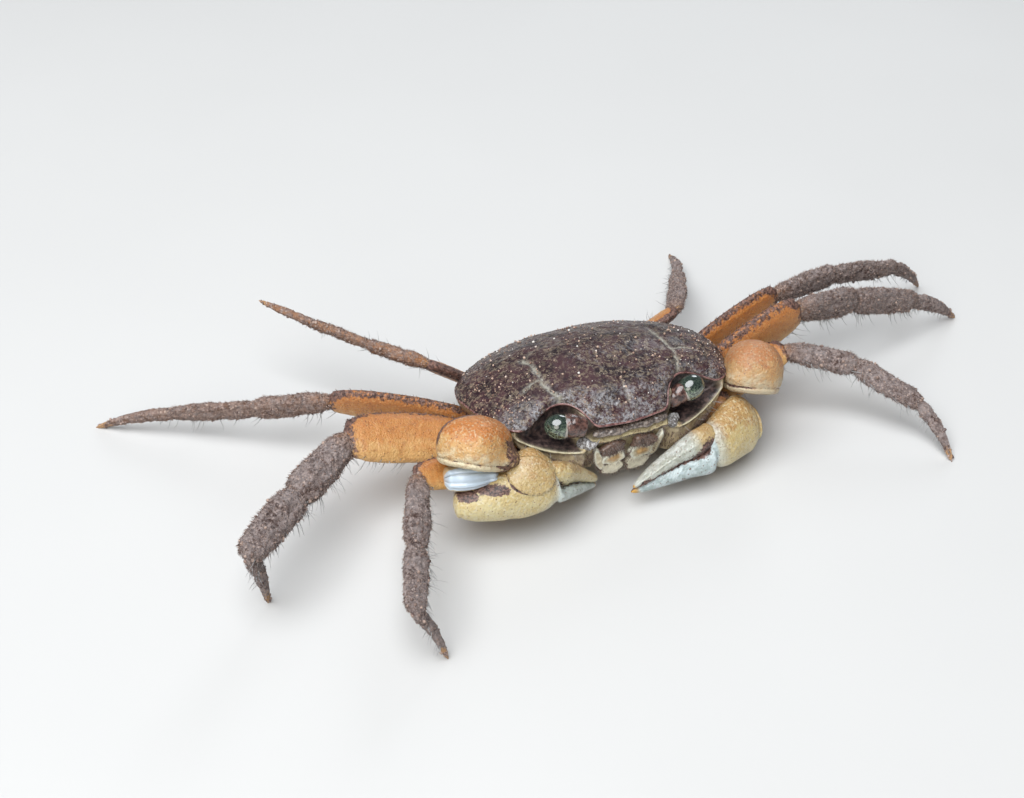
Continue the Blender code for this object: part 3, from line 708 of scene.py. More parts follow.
def face(x, z):
    """How far forward the front of the body stands at x and z, and the fields of its colours."""
    ax = np.abs(x)
    f = FRONT_Y + 0.05 - 2.0 * np.clip((ax - FRONT_HALF) / 6.7, 0, 1.3) ** 1.3
    f = f - 0.9 * step(ax, 5.4, 4.4) * step(z, -0.6, -2.4) - 1.9 * np.clip((-3.0 - z) / 3.9, 0, 1.2) ** 1.4
    # the orbits, with a raised rim below
    over = z - orbit_rim(ax)
    across = step(ax, 4.2, 5.7) * step(ax, 11.6, 10.6)
    depth = 0.9 + ORBIT_DEPTH * arch((ax - FRONT_HALF) / (CORNER[0] - FRONT_HALF))
    f = f - across * step(over, 0.04, 0.30) * depth
    band = step(ax, 4.4, 5.8) * step(ax, 12.0, 11.2)
    rim = bump(over + 0.10, 0.085) * band
    f = f + 0.30 * bump(over + 0.10, 0.20) * band
    # the hollow under the shell's front edge, and the yellow frame above the mouth
    under_front = step(ax, 4.9, 4.3) * step(z, -2.25, -1.85)
    frame_z = z + 2.62 - 0.10 * np.cos(ax * 1.6)
    frame_wide = step(ax, 5.8, 4.8)
    f = f - 0.9 * under_front + 0.34 * bump(frame_z, 0.28) * frame_wide
    f = f + 0.10 * bump(frame_z + 0.14, 0.15) * step(ax, 5.6, 4.6)
    half = 3.45 - 0.12 * np.clip(-3 - z, 0, 5)
    mouth = step(ax, half + 0.15, half - 0.15) * step(z, -2.9, -3.1)
    cheek = bump(z + 4.6, 1.2) * bump(ax - 6.0, 2.0)
    f = f - 0.38 * mouth + 0.5 * cheek
    ledge = step(ax, 5.2, 4.4) * step(frame_z, -0.08, 0.10)
    # painted shade inside the orbit and in a band below its rim
    shade = across * (step(over, -0.05, 0.03) + 0.55 * bump(over + 0.42, 0.17))
    yellow = np.maximum(1.6 * bump(frame_z + 0.04, 0.30) * frame_wide, 0.6 * mouth)
    # the dark field is painted shade: in the orbits, under the shell's front edge and on the ledge above the
    # mouth frame
    return f, {"dark": np.clip(shade + under_front * 0.60 + 0.20 * ledge, 0, 1) * (1 - rim),
               "pale": np.clip(rim * 1.3 * step(ax, 5.1, 6.3), 0, 1),
               "yellow": np.clip(yellow, 0, 1), "under": step(z, -3.4, -5.4)}


# how the thorax narrows from the shell's edge down: share of the way down, share of the outline
BOWL = ((0.0, 0.85), (0.15, 0.78), (0.32, 0.67), (0.5, 0.56), (0.7, 0.45), (0.88, 0.37), (1.0, 0.27))


def build_thorax():
    """The body under the shell, with the face on its front."""
    u = np.concatenate([np.linspace(0, 0.55, 90), np.linspace(0.55, 1, 45)[1:]])[:, None]
    share = step(-OUT_Y, 4.0, 7.2)
    scale = spline(*zip(*BOWL), u[:, 0])[:, None]
    side_x = OUT_X * scale
    side_y = MID_Y + (OUT_Y - MID_Y) * scale
    top = skirt(side_y) - 0.25
    side_z = top + (below(side_y) - top) * u
    front_x = OUT_X * (1 - 0.42 * u ** 1.6)
    top_z = -0.30 + ORBIT_RISE * NOTCH
    front_z = top_z + (-BELLY - top_z) * u
    forward, fields = face(front_x, front_z)
    x = side_x * (1 - share) + front_x * share
    y = side_y * (1 - share) - forward * share
    z = side_z * (1 - share) + front_z * share
    suture = sum(bump(y - line, 0.12) for line in (-3.2, -0.4, 2.4, 5.0)) * step(u, 0.72, 0.9)
    flat = np.stack([x, y, z], -1)
    lift = 0.05 * noise(flat, 0.8, 21, 2) - 0.15 * suture + 0.03 * noise(flat, 0.3, 22)
    grid = raised(body(x, y, z), lift)
    fields = {k: v * share for k, v in fields.items()}
    fields["under"] = np.maximum(fields["under"], step(u, 0.3, 0.7) * (1 - share))
    obj = rings_piece("thorax_and_face", grid, face_paint(), fields)
    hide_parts("thorax")
    face_hair(grid, flat)


def face_hair(grid, flat):
    """Olive felt beside the mouth and below the orbits, and a few long pale hairs at the orbits' edges."""
    rng = np.random.default_rng(11)
    ax, z = np.abs(flat[..., 0]), flat[..., 2]
    front = flat[..., 1] < -5.0
    cheeks = (ax > 3.6) & (ax < 9.5) & (z < orbit_rim(ax) - 0.9) & (z > -6.2)
    over_mouth = (ax < 5.0) & (np.abs(z + 2.85) < 0.25)
    orbit_edges = (ax > 5.0) & (ax < 11) & (np.abs(z - orbit_rim(ax) + 0.3) < 0.12)
    hair = Patchwork()
    for count, where, long, wide, silver in ((1500, cheeks, 0.42, 0.026, 0.0),
                                             (500, over_mouth, 0.30, 0.024, 0.35),
                                             (16, orbit_edges, 1.5, 0.030, 1.0)):
        i, j = np.nonzero(front & where)
        chosen = rng.integers(0, len(i), count)
        i, j = np.clip(i[chosen], 2, len(grid) - 4), j[chosen]
        at, normal, _, i, j = sample(rng, grid, count, i, j)
        aims = normal + [0, -0.1, -0.45 + 1.2 * silver] + rng.normal(0, 0.25, (count, 3))
        uv = np.stack([(j + 0.5) / grid.shape[1], (i + 0.5) / len(grid)], -1)
        spikes(hair, at - normal * 0.03, aims, long * (0.5 + 0.7 * rng.random(count)),
               wide * (0.7 + 0.6 * rng.random(count)), normal * [0, 0, -1],
               {"silver": np.full(count, silver * 0.8), "shade": rng.random(count)}, uv)
    obj = hair.make("face_hairs", bristle_paint(), with_uv=True)


# ================= eyes, feelers, mouth, abdomen =================


def ball(centre, axes):
    """An ellipsoid; axes are three half-size vectors, the first along its poles."""
    axes = np.asarray(axes, float)
    polar, a = np.linspace(0.03, pi - 0.03, 28), circle(40)
    spoke = axes[1] * np.cos(a)[:, None] + axes[2] * np.sin(a)[:, None]
    return centre - (axes[0] * np.cos(polar)[:, None])[:, None] + np.sin(polar)[:, None, None] * spoke


EYE_R = 1.3
# eye and stalk root are body points on the animal's left side; stalk is its thickness, and ring_from
# says how far behind the eye's middle its pale ring begins, in eye radii
EYES = {"right": {"eye": (7.29, -8.05, -0.09), "root": (4.9, -8.8, -0.45), "stalk": 1.0, "ring_from": -0.30},
        "left": {"eye": (7.20, -7.95, 0.37), "root": (4.9, -7.85, -0.75), "stalk": 0.84, "ring_from": -0.50}}
# place along the stalk and its half height
STALK_FORM = ((-0.12, 0.30), (-0.02, 0.80), (0.2, 1.05), (0.45, 1.19), (0.68, 1.20), (0.80, 1.10),
              (0.92, 0.80))


def build_eyes():
    """Egg-shaped eyes on short wrinkled stalks, and the feelers between them."""
    cornea_mat, stalk_mat, feeler_mat = cornea_paint(), stalk_paint(), feeler_paint()
    for side, s in SIDES.items():
        look = EYES[side]
        eye, root = (body(*(np.array(look[k]) * [s, 1, 1])) for k in ("eye", "root"))
        axis = unit(eye - root)
        across = unit(np.cross(axis, [0, 0, 1]))
        rise = np.cross(across, axis)
        polar, a = np.linspace(2.45, 0.015, 90), circle(96)
        t, r = np.cos(polar), np.sin(polar)
        spoke = across * 0.96 * np.cos(a)[:, None] + rise * np.sin(a)[:, None]
        grid = eye + EYE_R * ((axis * 1.14 * t[:, None])[:, None] + 0.99 * r[:, None, None] * spoke)
        ring = step(t, look["ring_from"], look["ring_from"] - 0.04)[:, None]
        obj = rings_piece("cornea_" + side, grid, cornea_mat,
                          {"up": (grid[..., 2] - eye[2]) / EYE_R, "ring": ring})
        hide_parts("eye_" + side)
        t = np.linspace(-0.12, 0.92, 110)
        size = spline(*zip(*STALK_FORM), t) * look["stalk"]
        arc = rise * (0.16 * np.sin(pi * np.clip(t, 0, 1)))[:, None]
        centres = root + (eye - root) * t[:, None] + arc
        grid, _, _ = sweep(centres, size, size * 0.94, across, 96)
        wrinkle = 0.09 * noise(grid, 0.60, 71, 4) - 0.05 * bump(t - 0.30, 0.05)[:, None]
        obj = rings_piece("stalk_" + side, raised(grid, wrinkle), stalk_mat,
                          {"rim": step(t, 0.72, 0.78)[:, None]})
        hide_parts("eyestalk_" + side)
        build_feelers(side, s, feeler_mat)


# joints of the antenna: place along it, half width, half length
ANTENNA = ((-0.10, 0.62, 0.80), (0.60, 0.48, 0.50), (1.10, 0.36, 0.42))
# ridges of the folded antennule: middle, half sizes
ANTENNULE = (((1.45, -9.05, -1.58), (1.35, 0.46, 0.42)), ((3.05, -8.90, -1.55), (1.05, 0.42, 0.42)),
             ((0.30, -8.95, -1.58), (0.60, 0.34, 0.34)))


def build_feelers(side, s, paint):
    """The antenna with three swollen joints and a thin whip, and the antennule as low brown ridges."""
    work = Patchwork()
    base, end = body(s * 4.95, -8.7, -2.40), body(s * 4.0, -10.3, -1.85)
    run = unit(end - base)
    side_axis = unit(np.cross(run, [0, 0, 1]))
    up_axis = np.cross(side_axis, run)
    for along, size, long in ANTENNA:
        grid = ball(base + run * along, (run * long, side_axis * size, up_axis * size))
        work.rings(raised(grid, 0.32 * noise(grid, 0.62, 72, 4)), {"dark": 0.0})
    t = np.linspace(0, 1, 90)
    path = base + run * (1.2 + 0.75 * t[:, None]) + (up_axis * 0.55 + side_axis * (s * 0.2)) * t[:, None] ** 2
    thick = 0.15 * (1 - 0.75 * t) * (1 + 0.10 * np.sin(t * 75))
    grid, _, _ = sweep(path, thick, thick, side_axis, 16)
    work.rings(grid, {"dark": 0.15})
    obj = work.make("antenna_joints_" + side, paint)
    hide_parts("antenna_" + side)
    work = Patchwork()
    for (x, y, z), half_sizes in ANTENNULE:
        grid = ball(body(s * x, y, z), (TURN @ np.diag(half_sizes)).T)
        work.rings(raised(grid, 0.20 * noise(grid, 0.42, 73, 4)), {"dark": 0.88})
    obj = work.make("antennule_" + side, paint)


MOUTH_TOP, MOUTH_BOTTOM, MOUTH_FRONT = 3.0, 7.4, 8.65
# the plates of an outer mouthpart: middle (x, z), half sizes (x, z), how far it bulges, the power of its
# outline, lean, how uneven, and its fields; hollow sinks its middle
MOUTH_PLATES = {
    "palp": {"at": (1.70, -3.85), "half": (1.42, 0.86), "dome": 0.55, "power": 2.0, "lean": 0.16,
             "rough": 0.28, "dirt": 0.58, "rim": 0.0, "whole_rim": 0.0, "hollow": 0.0},
    "merus": {"at": (1.54, -5.15), "half": (1.40, 1.06), "dome": 0.62, "power": 2.1, "lean": 0.16,
              "rough": 0.12, "dirt": 0.16, "rim": 1.0, "whole_rim": 0.0, "hollow": 1.0},
    "ischium": {"at": (1.42, -6.70), "half": (1.32, 1.02), "dome": 0.50, "power": 2.2, "lean": 0.16,
                "rough": 0.12, "dirt": 0.16, "rim": 0.0, "whole_rim": 0.4, "hollow": 0.0},
    "rod": {"at": (3.16, -5.00), "half": (0.46, 1.80), "dome": 0.46, "power": 2.0, "lean": 0.34,
            "rough": 0.12, "dirt": 0.16, "rim": 1.0, "whole_rim": 0.0, "hollow": 0.0},
}


def mouth_plane(z):
    """How far back the plates of the mouth lie at that height."""
    t = np.clip((-MOUTH_TOP - z) / (MOUTH_BOTTOM - MOUTH_TOP), 0, 1.3)
    return -MOUTH_FRONT + 1.25 * t ** 1.1


def mouth_hair(hair, rng, grid, over_all):
    """Felt over the whole plate, or only a fringe round it."""
    count, low, high = (520, 5, 40) if over_all else (260, 2, 8)
    rings = rng.integers(low, high, count)
    at, normal, _, _, _ = sample(rng, grid, count, rings, rng.integers(0, grid.shape[1], count))
    aims = normal + [0, -0.2, -0.5] + rng.normal(0, 0.35, (count, 3))
    uv = np.stack([0.5 + 0.02 * at[:, 0], 0.5 + 0.04 * at[:, 2]], -1)
    lengths = 0.14 + 0.30 * rng.random(count) ** 2
    widths = 0.016 + 0.020 * rng.random(count)
    spikes(hair, at - normal * 0.03, aims, lengths, widths, normal,
           {"silver": (rng.random(count) < 0.2) * 0.5, "shade": rng.random(count)}, uv)


def build_mouth():
    """Outer mouthparts: on each side a setose pad above, two shell plates and a slender outer rod."""
    paint = mouth_paint()
    # from the plate's tucked-in back edge over its rim to its middle
    rho = np.concatenate([[0.80, 0.93, 0.985], np.linspace(1, 0.015, 46)])[:, None]
    back = np.concatenate([[0.55, 0.40, 0.15], np.zeros(46)])[:, None]
    a = circle(120)
    c, q = np.cos(a), np.sin(a)
    rng = np.random.default_rng(3)
    hair = Patchwork()
    for side, s in SIDES.items():
        work = Patchwork()
        for name, plate in MOUTH_PLATES.items():
            (cx, cz), (half_x, half_z), power = plate["at"], plate["half"], plate["power"]
            edge_r = (np.abs(c) ** power + np.abs(q) ** power) ** (-1 / power)
            edge_r = edge_r * (1 + 0.07 * np.sin(3 * a + cx * 5) + 0.05 * np.sin(5 * a + cz * 3 + s))
            x = cx + half_x * rho * edge_r * c
            z = cz + half_z * rho * edge_r * q
            x, z = x + plate["lean"] * (z - cz), z - 0.10 * (x - cx)
            height = plate["dome"] * np.sqrt(np.maximum(0, 1 - rho ** 4)) + 0.05 * bump(rho - 0.84, 0.09)
            height = height - 0.13 * bump(rho - 0.45, 0.30) * plate["hollow"]
            grid = body(s * x, mouth_plane(z) - height + back, z)
            rough = 0.05 * noise(grid, 0.35, 74, 2) + plate["rough"] * noise(grid, 0.7, 75, 2)
            grid = raised(grid, rough)
            mouth_hair(hair, rng, grid, name == "palp")
            work.rings(grid, {"rim": step(rho, 0.60, 0.80) * plate["rim"] + plate["whole_rim"],
                              "centre": step(rho, 0.60, 0.30) * plate["hollow"],
                              "dirt": plate["dirt"] + 0.22 * step(rho, 0.88, 1.0)})
        obj = work.make("maxilliped_" + side, paint)
        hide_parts("mouthpart_" + side)
    obj = hair.make("mouth_hairs", bristle_paint(), with_uv=True)


def build_abdomen():
    """The abdomen folded under the body, in seven plates narrowing to the front."""
    # y, z and half width along the fold
    fold = [(12.35, -4.5, 4.7), (12.4, -5.2, 4.7), (11.4, -5.75, 4.5)]
    fold += [(y, below(y) - 0.3, w) for y, w in ((9.4, 4.1), (7.0, 3.6), (4.4, 3.0), (1.9, 2.3), (-0.6, 1.2))]
    fold = np.array(fold)
    run = np.concatenate([[0], np.cumsum(np.hypot(np.diff(fold[:, 0]), np.diff(fold[:, 1])))])
    at = np.linspace(0, run[-1], 190)
    y, z, w = spline(run, fold, at).T
    ahead = unit(np.stack([np.gradient(y), np.gradient(z)], -1))
    out = np.stack([ahead[:, 1], -ahead[:, 0]], -1)
    out *= np.sign(-out[:, 1:] + 1e-9)
    plate = at / run[-1] * 7
    groove = np.abs(plate - np.round(plate))
    lift = 0.60 - 0.22 * bump(groove, 0.05) * (np.round(plate) > 0)
    tip = np.sqrt(np.clip((run[-1] - at) / 1.2, 0, 1))
    f = np.linspace(-1, 1, 60)
    crown = np.clip(1 - np.abs(f) ** 3, 0, 1) ** 0.6
    below_x, below_lift = np.concatenate([f, f[::-1]]), np.concatenate([crown, np.full(60, -0.02)])
    width = w * np.where(tip < 1, 0.35 + 0.65 * tip, 1.0) * (1 - 0.03 * bump(groove, 0.06))
    x = width[:, None] * below_x
    height = lift[:, None] * below_lift * (0.9 + 0.1 * np.cos(below_x * pi * 1.5))
    grid = body(x, y[:, None] + out[:, :1] * height, z[:, None] + out[:, 1:] * height)
    under = 0.15 + 0.65 * step(at / run[-1], 0.12, 0.34)[:, None]
    obj = rings_piece("abdomen_plates", raised(grid, 0.03 * noise(grid, 0.7, 76, 2)), face_paint(),
                      {"under": under})
    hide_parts("abdomen")


def grain(work, rng, centre, size, fields, place):
    """A crumb of soil: a small uneven ball, one patch of the bake map."""
    a = circle(7)
    polar = np.linspace(0.35, pi - 0.35, 5)
    grid = np.stack([np.sin(polar)[:, None] * np.cos(a), np.sin(polar)[:, None] * np.sin(a),
                     np.cos(polar)[:, None] + 0 * a], -1) * size
    grid = grid * (1 + 0.5 * (rng.random(grid.shape[:2]) - 0.5))[..., None] + centre
    grid[..., 2] = np.maximum(grid[..., 2], 0.02)
    work.rings(grid, fields, place + rng.normal(0, 0.0007, (grid.shape[0] * grid.shape[1] + 2, 2)))


def build_shell_grains():
    """Small pale crumbs that cling to the shell, thickest near the edge of its front half, with none
    over the orbits."""
    rng = np.random.default_rng(7)
    work = Patchwork()
    count = 1300
    angle, rho = rng.random(count) * 2 * pi, 0.985 * np.sqrt(rng.random(count))
    outline_angle = np.arctan2(OUT_Y - MID_Y, OUT_X)
    order = np.argsort(outline_angle)
    radius = np.interp(angle, outline_angle[order], np.hypot(OUT_X, OUT_Y - MID_Y)[order], period=2 * pi)
    x, y = radius * rho * np.cos(angle), MID_Y + radius * rho * np.sin(angle)
    density = 0.25 + 0.75 * step(rho, 0.55, 0.9) * step(-y, -3, 2) * (1 - step(-y, 7.4, 8.4))
    orbits = (y < -6.3) & (np.abs(x) > 4.4)
    kept = (rng.random(count) < density) & ~orbits
    x, y, rho = x[kept], y[kept], rho[kept]
    z = edge(y) + DOME * (1 - rho ** 2.5) ** 0.68 + 0.05
    for centre, px, py in zip(body(x, y, z), x, y):
        grain(work, rng, centre, 0.045 + 0.09 * rng.random() ** 3, {"shade": rng.random()},
              np.array([px / 40 + 0.5, py / 40 + 0.5]))
    obj = work.make("shell_grains", grain_paint(), with_uv=True)


# ================= limbs: the same chain of joints as the solids =================
# lengths and half heights of each pair's five articles, their thickness as a share of the height,
# the roots of the legs on the body, and each article's heading and rise in degrees
ARTICLES = ("base", "merus", "carpus", "propodus", "dactyl")
LENGTHS = {2: (3.4, 12.2, 7.6, 7.7, 7.0), 3: (3.6, 15.2, 8.2, 9.0, 8.8),
           4: (3.6, 15.0, 8.2, 9.4, 9.3), 5: (3.3, 8.0, 7.0, 7.2, 7.4)}
DEPTHS = {2: (1.15, 1.75, 1.25, 1.2, 0.75), 3: (1.25, 2.75, 1.7, 1.6, 0.95),
          4: (1.25, 2.05, 1.4, 1.2, 0.8), 5: (1.1, 1.6, 1.15, 1.05, 0.7)}
FLATNESS = (0.95, 0.42, 0.58, 0.48, 0.62)
LEG_ROOTS = {2: (6.8, -3.8, -6.0), 3: (7.7, -0.8, -6.0), 4: (7.9, 2.6, -5.8), 5: (6.6, 7.6, -5.5)}
STANCE = {
    ("right", 2): ((7, -6), (10, 22), (68, -11), (68, -1), (155, None)),
    ("right", 3): ((-8, 10), (-6, 17), (36, -4), (44, 4), (-131, None)),
    ("right", 4): ((-26, 5), (-24, 10), (-29, -12), (-31.5, -10.5), (-29, None)),
    ("right", 5): ((-58, 0), (8, 42), (-50, 1), (-54, 0), (-54, 3)),
    ("left", 2): ((-2, -4), (-7, 19), (35, -6), (52, -18), (81, None)),
    ("left", 3): ((-12, 2), (-5, 23), (-6, -11), (0, -17), (-3, None)),
    ("left", 4): ((-22, 0), (-6, 22), (-6.5, -1), (-3.5, -12), (-20, None)),
    ("left", 5): ((-58, 0), (10, 33), (-58, -16), (-60, -22), (-68, None)),
}
# place along the article, then the shares of its half height and half thickness
FORM = {
    "base": ((-0.08, 0.40, 0.45), (0.08, 0.85, 0.85), (0.40, 1.0, 1.0), (0.75, 0.96, 0.96),
             (0.96, 0.80, 0.80), (1.08, 0.35, 0.40)),
    "merus": ((-0.03, 0.26, 0.40), (0.01, 0.52, 0.75), (0.08, 0.68, 0.93), (0.35, 0.94, 1.0),
              (0.62, 1.0, 1.0), (0.86, 0.93, 0.97), (0.95, 0.80, 0.88), (1.0, 0.64, 0.72),
              (1.03, 0.30, 0.35)),
    "carpus": ((-0.05, 0.25, 0.35), (0.01, 0.52, 0.68), (0.12, 0.76, 0.92), (0.45, 0.96, 1.0),
               (0.8, 1.02, 1.0), (0.94, 0.93, 0.92), (1.0, 0.78, 0.80), (1.06, 0.30, 0.35)),
    "propodus": ((-0.05, 0.30, 0.40), (0.01, 0.66, 0.80), (0.12, 0.90, 0.98), (0.45, 1.0, 1.0),
                 (0.8, 0.90, 0.95), (0.94, 0.80, 0.86), (1.0, 0.64, 0.70), (1.05, 0.28, 0.32)),
    "dactyl": ((-0.04, 0.30, 0.40), (0.02, 0.72, 0.82), (0.12, 0.92, 1.0), (0.35, 0.86, 0.92),
               (0.6, 0.66, 0.74), (0.82, 0.42, 0.48), (0.95, 0.22, 0.25), (1.0, 0.09, 0.10)),
}
BOW = {"merus": 0.35, "dactyl": 0.45}
RING_STEP, ROUND = 0.11, 72
# how much dirt lies on each thigh, with painted shade in it for the left legs, the hindmost most of all, and
# how rusty the crust beyond it is
GRIME_AND_SHADE = {("right", 2): 0.06, ("right", 3): 0.08, ("right", 4): 0.09, ("right", 5): 0.42,
         ("left", 2): 0.10, ("left", 3): 0.08, ("left", 4): 0.12, ("left", 5): 0.30}
WARM = {("right", 4): 0.35, ("right", 5): 0.8}
HAIR_SPACING = 0.17
# long bristles to each millimetre of the article
BRISTLES = {"merus": 2.6, "carpus": 3.2, "propodus": 3.6, "dactyl": 2.2}


def direction(side, heading, rise):
    """A unit vector that looks so many degrees forward of straight out to the side, and so many up."""
    h, r = radians(heading), radians(rise)
    return np.array([SIDES[side] * cos(h) * cos(r), -sin(h) * cos(r), sin(r)])


def leg_chain(side, pair):
    """The joints of a walking leg and the normal of the plane it bends in; an article with no rise
    given reaches down to the floor."""
    x, y, z = LEG_ROOTS[pair]
    joints, runs = [body(SIDES[side] * x, y, z)], []
    for length, (heading, rise) in zip(LENGTHS[pair], STANCE[side, pair]):
        if rise is None:
            rise = -asin(min(1, joints[-1][2] / length)) * 180 / pi
        runs.append(direction(side, heading, rise))
        joints.append(joints[-1] + runs[-1] * length)
    plane = np.cross(runs[1], runs[2])
    if np.linalg.norm(plane) < 0.15:
        plane = np.cross(runs[1], [0, 0, -1])
    return joints, unit(plane)


def article_grid(article, a, b, plane, h, w):
    """A smooth article from joint a to joint b, with the place along it and how far up each point is."""
    form = np.array(FORM[article])
    length = np.linalg.norm(b - a)
    rings = int(length * (form[-1, 0] - form[0, 0]) / RING_STEP)
    even = np.linspace(0, 1, rings)
    t = form[0, 0] + (form[-1, 0] - form[0, 0]) * (0.6 * even + 0.4 * (0.5 - 0.5 * np.cos(pi * even)))
    shape = spline(form[:, 0], form[:, 1:], t)
    run = (b - a) / length
    if np.cross(plane, run)[2] < 0:
        plane = -plane
    high = unit(np.cross(plane, run))
    bow = BOW.get(article, 0) * np.sin(pi * np.clip(t, 0, 1))
    centres = a + run * (length * t)[:, None] + high * bow[:, None]
    grid, up, _ = sweep(centres, h * shape[:, 0], w * shape[:, 1], plane, ROUND)
    return grid, up, t[:, None]


def spikes(work, roots, aims, lengths, widths, lay, fields, uv):
    """Bristles with three sides: a root, a bend and a tip; each is one patch of the bake map."""
    aims = unit(aims)
    side = unit(np.cross(aims, [0.31, 0.22, 0.92]))
    other = np.cross(aims, side)
    a = np.arange(3) * 2 * pi / 3
    around = side[:, None] * np.cos(a)[:, None] + other[:, None] * np.sin(a)[:, None]
    lengths, widths = lengths[:, None], widths[:, None, None]
    root = roots[:, None] + around * widths
    middle = (roots + aims * lengths * 0.55 + lay * lengths * 0.05)[:, None] + around * widths * 0.62
    tip = (roots + aims * lengths + lay * lengths * 0.22)[:, None]
    points = np.concatenate([root, middle, tip], 1)
    points[..., 2] = np.maximum(points[..., 2], 0.02)
    first = np.arange(len(roots))[:, None, None] * 7
    k = np.arange(3)
    quads = first + np.stack([k, (k + 1) % 3, (k + 1) % 3 + 3, k + 3], -1)
    tris = first + np.concatenate([np.stack([k + 3, (k + 1) % 3 + 3, np.full(3, 6)], -1), [[2, 1, 0]]])
    ring = np.stack([np.cos(a), np.sin(a)], -1)
    spread = np.concatenate([ring * 0.0015, ring * 0.0009, [[0, 0]]])
    flat = {key: np.repeat(value, 7) for key, value in fields.items()}
    work.add(points.reshape(-1, 3), quads.reshape(-1, 4), tris.reshape(-1, 3), flat,
             (uv[:, None] + spread).reshape(-1, 2))


def sample(rng, grid, count, ring_choice=None, round_choice=None):
    """Random places on a grid of rings: the points, their normals, the run of the rings and the indices."""
    normals = surface_normals(grid)
    i = rng.integers(2, len(grid) - 3, count) if ring_choice is None else ring_choice
    j = rng.integers(0, grid.shape[1], count) if round_choice is None else round_choice % grid.shape[1]
    f, g = rng.random((count, 1)), rng.random((count, 1))
    jn = (j + 1) % grid.shape[1]
    one, other = (grid[i, k] * (1 - f) + grid[i + 1, k] * f for k in (j, jn))
    at = one * (1 - g) + other * g
    return at, normals[i, j], unit(grid[i + 1, j] - grid[i - 1, j]), i, j


def leg_hair(pair, article, grid, work, rng):
    """Short felt over the outer articles, stiff teeth on the thigh and long silver bristles below."""
    k = ARTICLES.index(article)
    ring_count, round_count = grid.shape[:2]
    size = DEPTHS[pair][k]

    def patch(i, j):
        return np.stack([(j + 0.5) / round_count, (k + (i + 0.5) / ring_count) / len(ARTICLES)], -1)

    def put(at, normal, run, i, j, aims, lengths, widths, silver, shade):
        spikes(work, at - normal * 0.04, aims, lengths, widths, run, {"silver": silver, "shade": shade},
               patch(i, j))

    length = np.linalg.norm(grid[-1].mean(0) - grid[0].mean(0))
    if article in ("carpus", "propodus", "dactyl"):
        count = int(length * 4.6 * size / HAIR_SPACING ** 2)
        at, normal, run, i, j = sample(rng, grid, count)
        tuft = noise(at, 0.9, 61) * 0.5 + 0.5
        lengths = size ** 0.5 * (0.13 + 0.20 * rng.random(count) * (0.4 + tuft))
        lengths = lengths * (1 - 0.90 * (article == "dactyl") * i / ring_count)
        aims = normal * 0.85 + run * 0.6 + rng.normal(0, 0.33, (count, 3))
        put(at, normal, run, i, j, aims, lengths, 0.020 + 0.022 * rng.random(count),
            (rng.random(count) < 0.10) * 0.6, rng.random(count))
        count = int(length * size * 8)
        at, normal, _, i, j = sample(rng, grid, count)
        for centre, place in zip(at + normal * 0.03, patch(i, j)):
            size_drawn = 0.06 + 0.13 * rng.random() ** 3
            grain(work, rng, centre, size_drawn, {"silver": 0.0, "shade": rng.random()}, place)
    if article in BRISTLES:
        count = int(length * BRISTLES[article] * (1.0 if pair in (2, 3) else 0.6))
        last = 0.72 if article == "dactyl" else 0.96
        place = rng.integers(int(ring_count * 0.12), int(ring_count * last), count // 2 + 1)
        place = np.clip(np.repeat(place, 2)[:count] + rng.integers(-3, 4, count), 2, ring_count - 4)
        row = (round_count * 3 // 4 + rng.integers(-6, 7, count))
        at, normal, run, i, j = sample(rng, grid, count, place, row)
        lengths = (0.7 + 1.3 * rng.random(count) ** 1.5) * (0.6 if article == "dactyl" else 1.0)
        aims = normal + run * 0.28 + rng.normal(0, 0.16, (count, 3))
        put(at, normal, run, i, j, aims, lengths, 0.040 + 0.016 * rng.random(count), np.ones(count),
            rng.random(count))
    if article == "merus":
        count = int(length * 5)
        place = rng.integers(int(ring_count * 0.10), int(ring_count * 0.97), count)
        at, normal, run, i, j = sample(rng, grid, count, place, round_count // 4 + rng.integers(-4, 5, count))
        aims = normal + run * 0.5 + rng.normal(0, 0.15, (count, 3))
        put(at, normal, run, i, j, aims, 0.16 + 0.20 * rng.random(count), 0.035 + 0.03 * rng.random(count),
            np.zeros(count), rng.random(count) * 0.5)


def thigh_surface(side, pair, article, grid, up, t, ends):
    """Relief and colour fields of the two inner articles: granules, side lines and an upper row of
    teeth."""
    length = LENGTHS[pair][ARTICLES.index(article)]
    bead, _ = cells(grid, 0.34, 31)
    flank = bump(np.abs(up) - 0.62, 0.13) * step(t, 0.05, 0.2) * step(t, 1.0, 0.85)
    teeth = np.maximum(0, np.sin(t * length * 2 * pi / 0.62)) ** 2 * step(up, 0.90, 1.0)
    lift = ((0.5 - bead) * 0.05 + 0.04 * noise(grid, 0.9, 32, 2) + 0.05 * flank + 0.10 * teeth * ends
            - 0.03 * bump(up, 0.35))
    # the per-leg level is dirt, and on the left legs also painted shade
    dirt = (GRIME_AND_SHADE[side, pair] + 0.46 * step(up, 0.50, 0.95) + 0.46 * step(t, 0.90, 1.0)
            + 0.28 * step(t, 0.10, 0.0) + 0.25 * (article == "base"))
    return lift, {"up": up * 0.9, "dirt": dirt}


def crust_surface(side, pair, article, grid, up, t, ends):
    """Relief and colour fields of the three outer articles: lumps, crumbs, ridges and a clean tip."""
    rough_share = 1 - 0.75 * step(t, 0.35, 0.85) * (article == "dactyl")
    crumbs, mark = cells(grid, 0.36, 33)
    ridge = bump(np.abs(up) - 0.72, 0.14) + bump(up, 0.14)
    lumps = (0.13 * noise(grid, 1.2, 34, 2) + 0.14 * noise(grid, 0.46, 35, 3)
             + (0.55 - crumbs) * (0.03 + 0.17 * mark))
    lift = lumps * rough_share * min(1, DEPTHS[pair][ARTICLES.index(article)]) + 0.05 * ridge * ends
    clean = ((article == "dactyl") * step(t, 0.45, 0.95) * 0.62
             + (article == "carpus") * step(t, 0.16, 0.0) * 0.5)
    warm = WARM.get((side, pair), 0.1) + 0.45 * (article == "carpus") * step(t, 0.3, 0.0)
    return lift, {"clean": clean, "warm": warm}


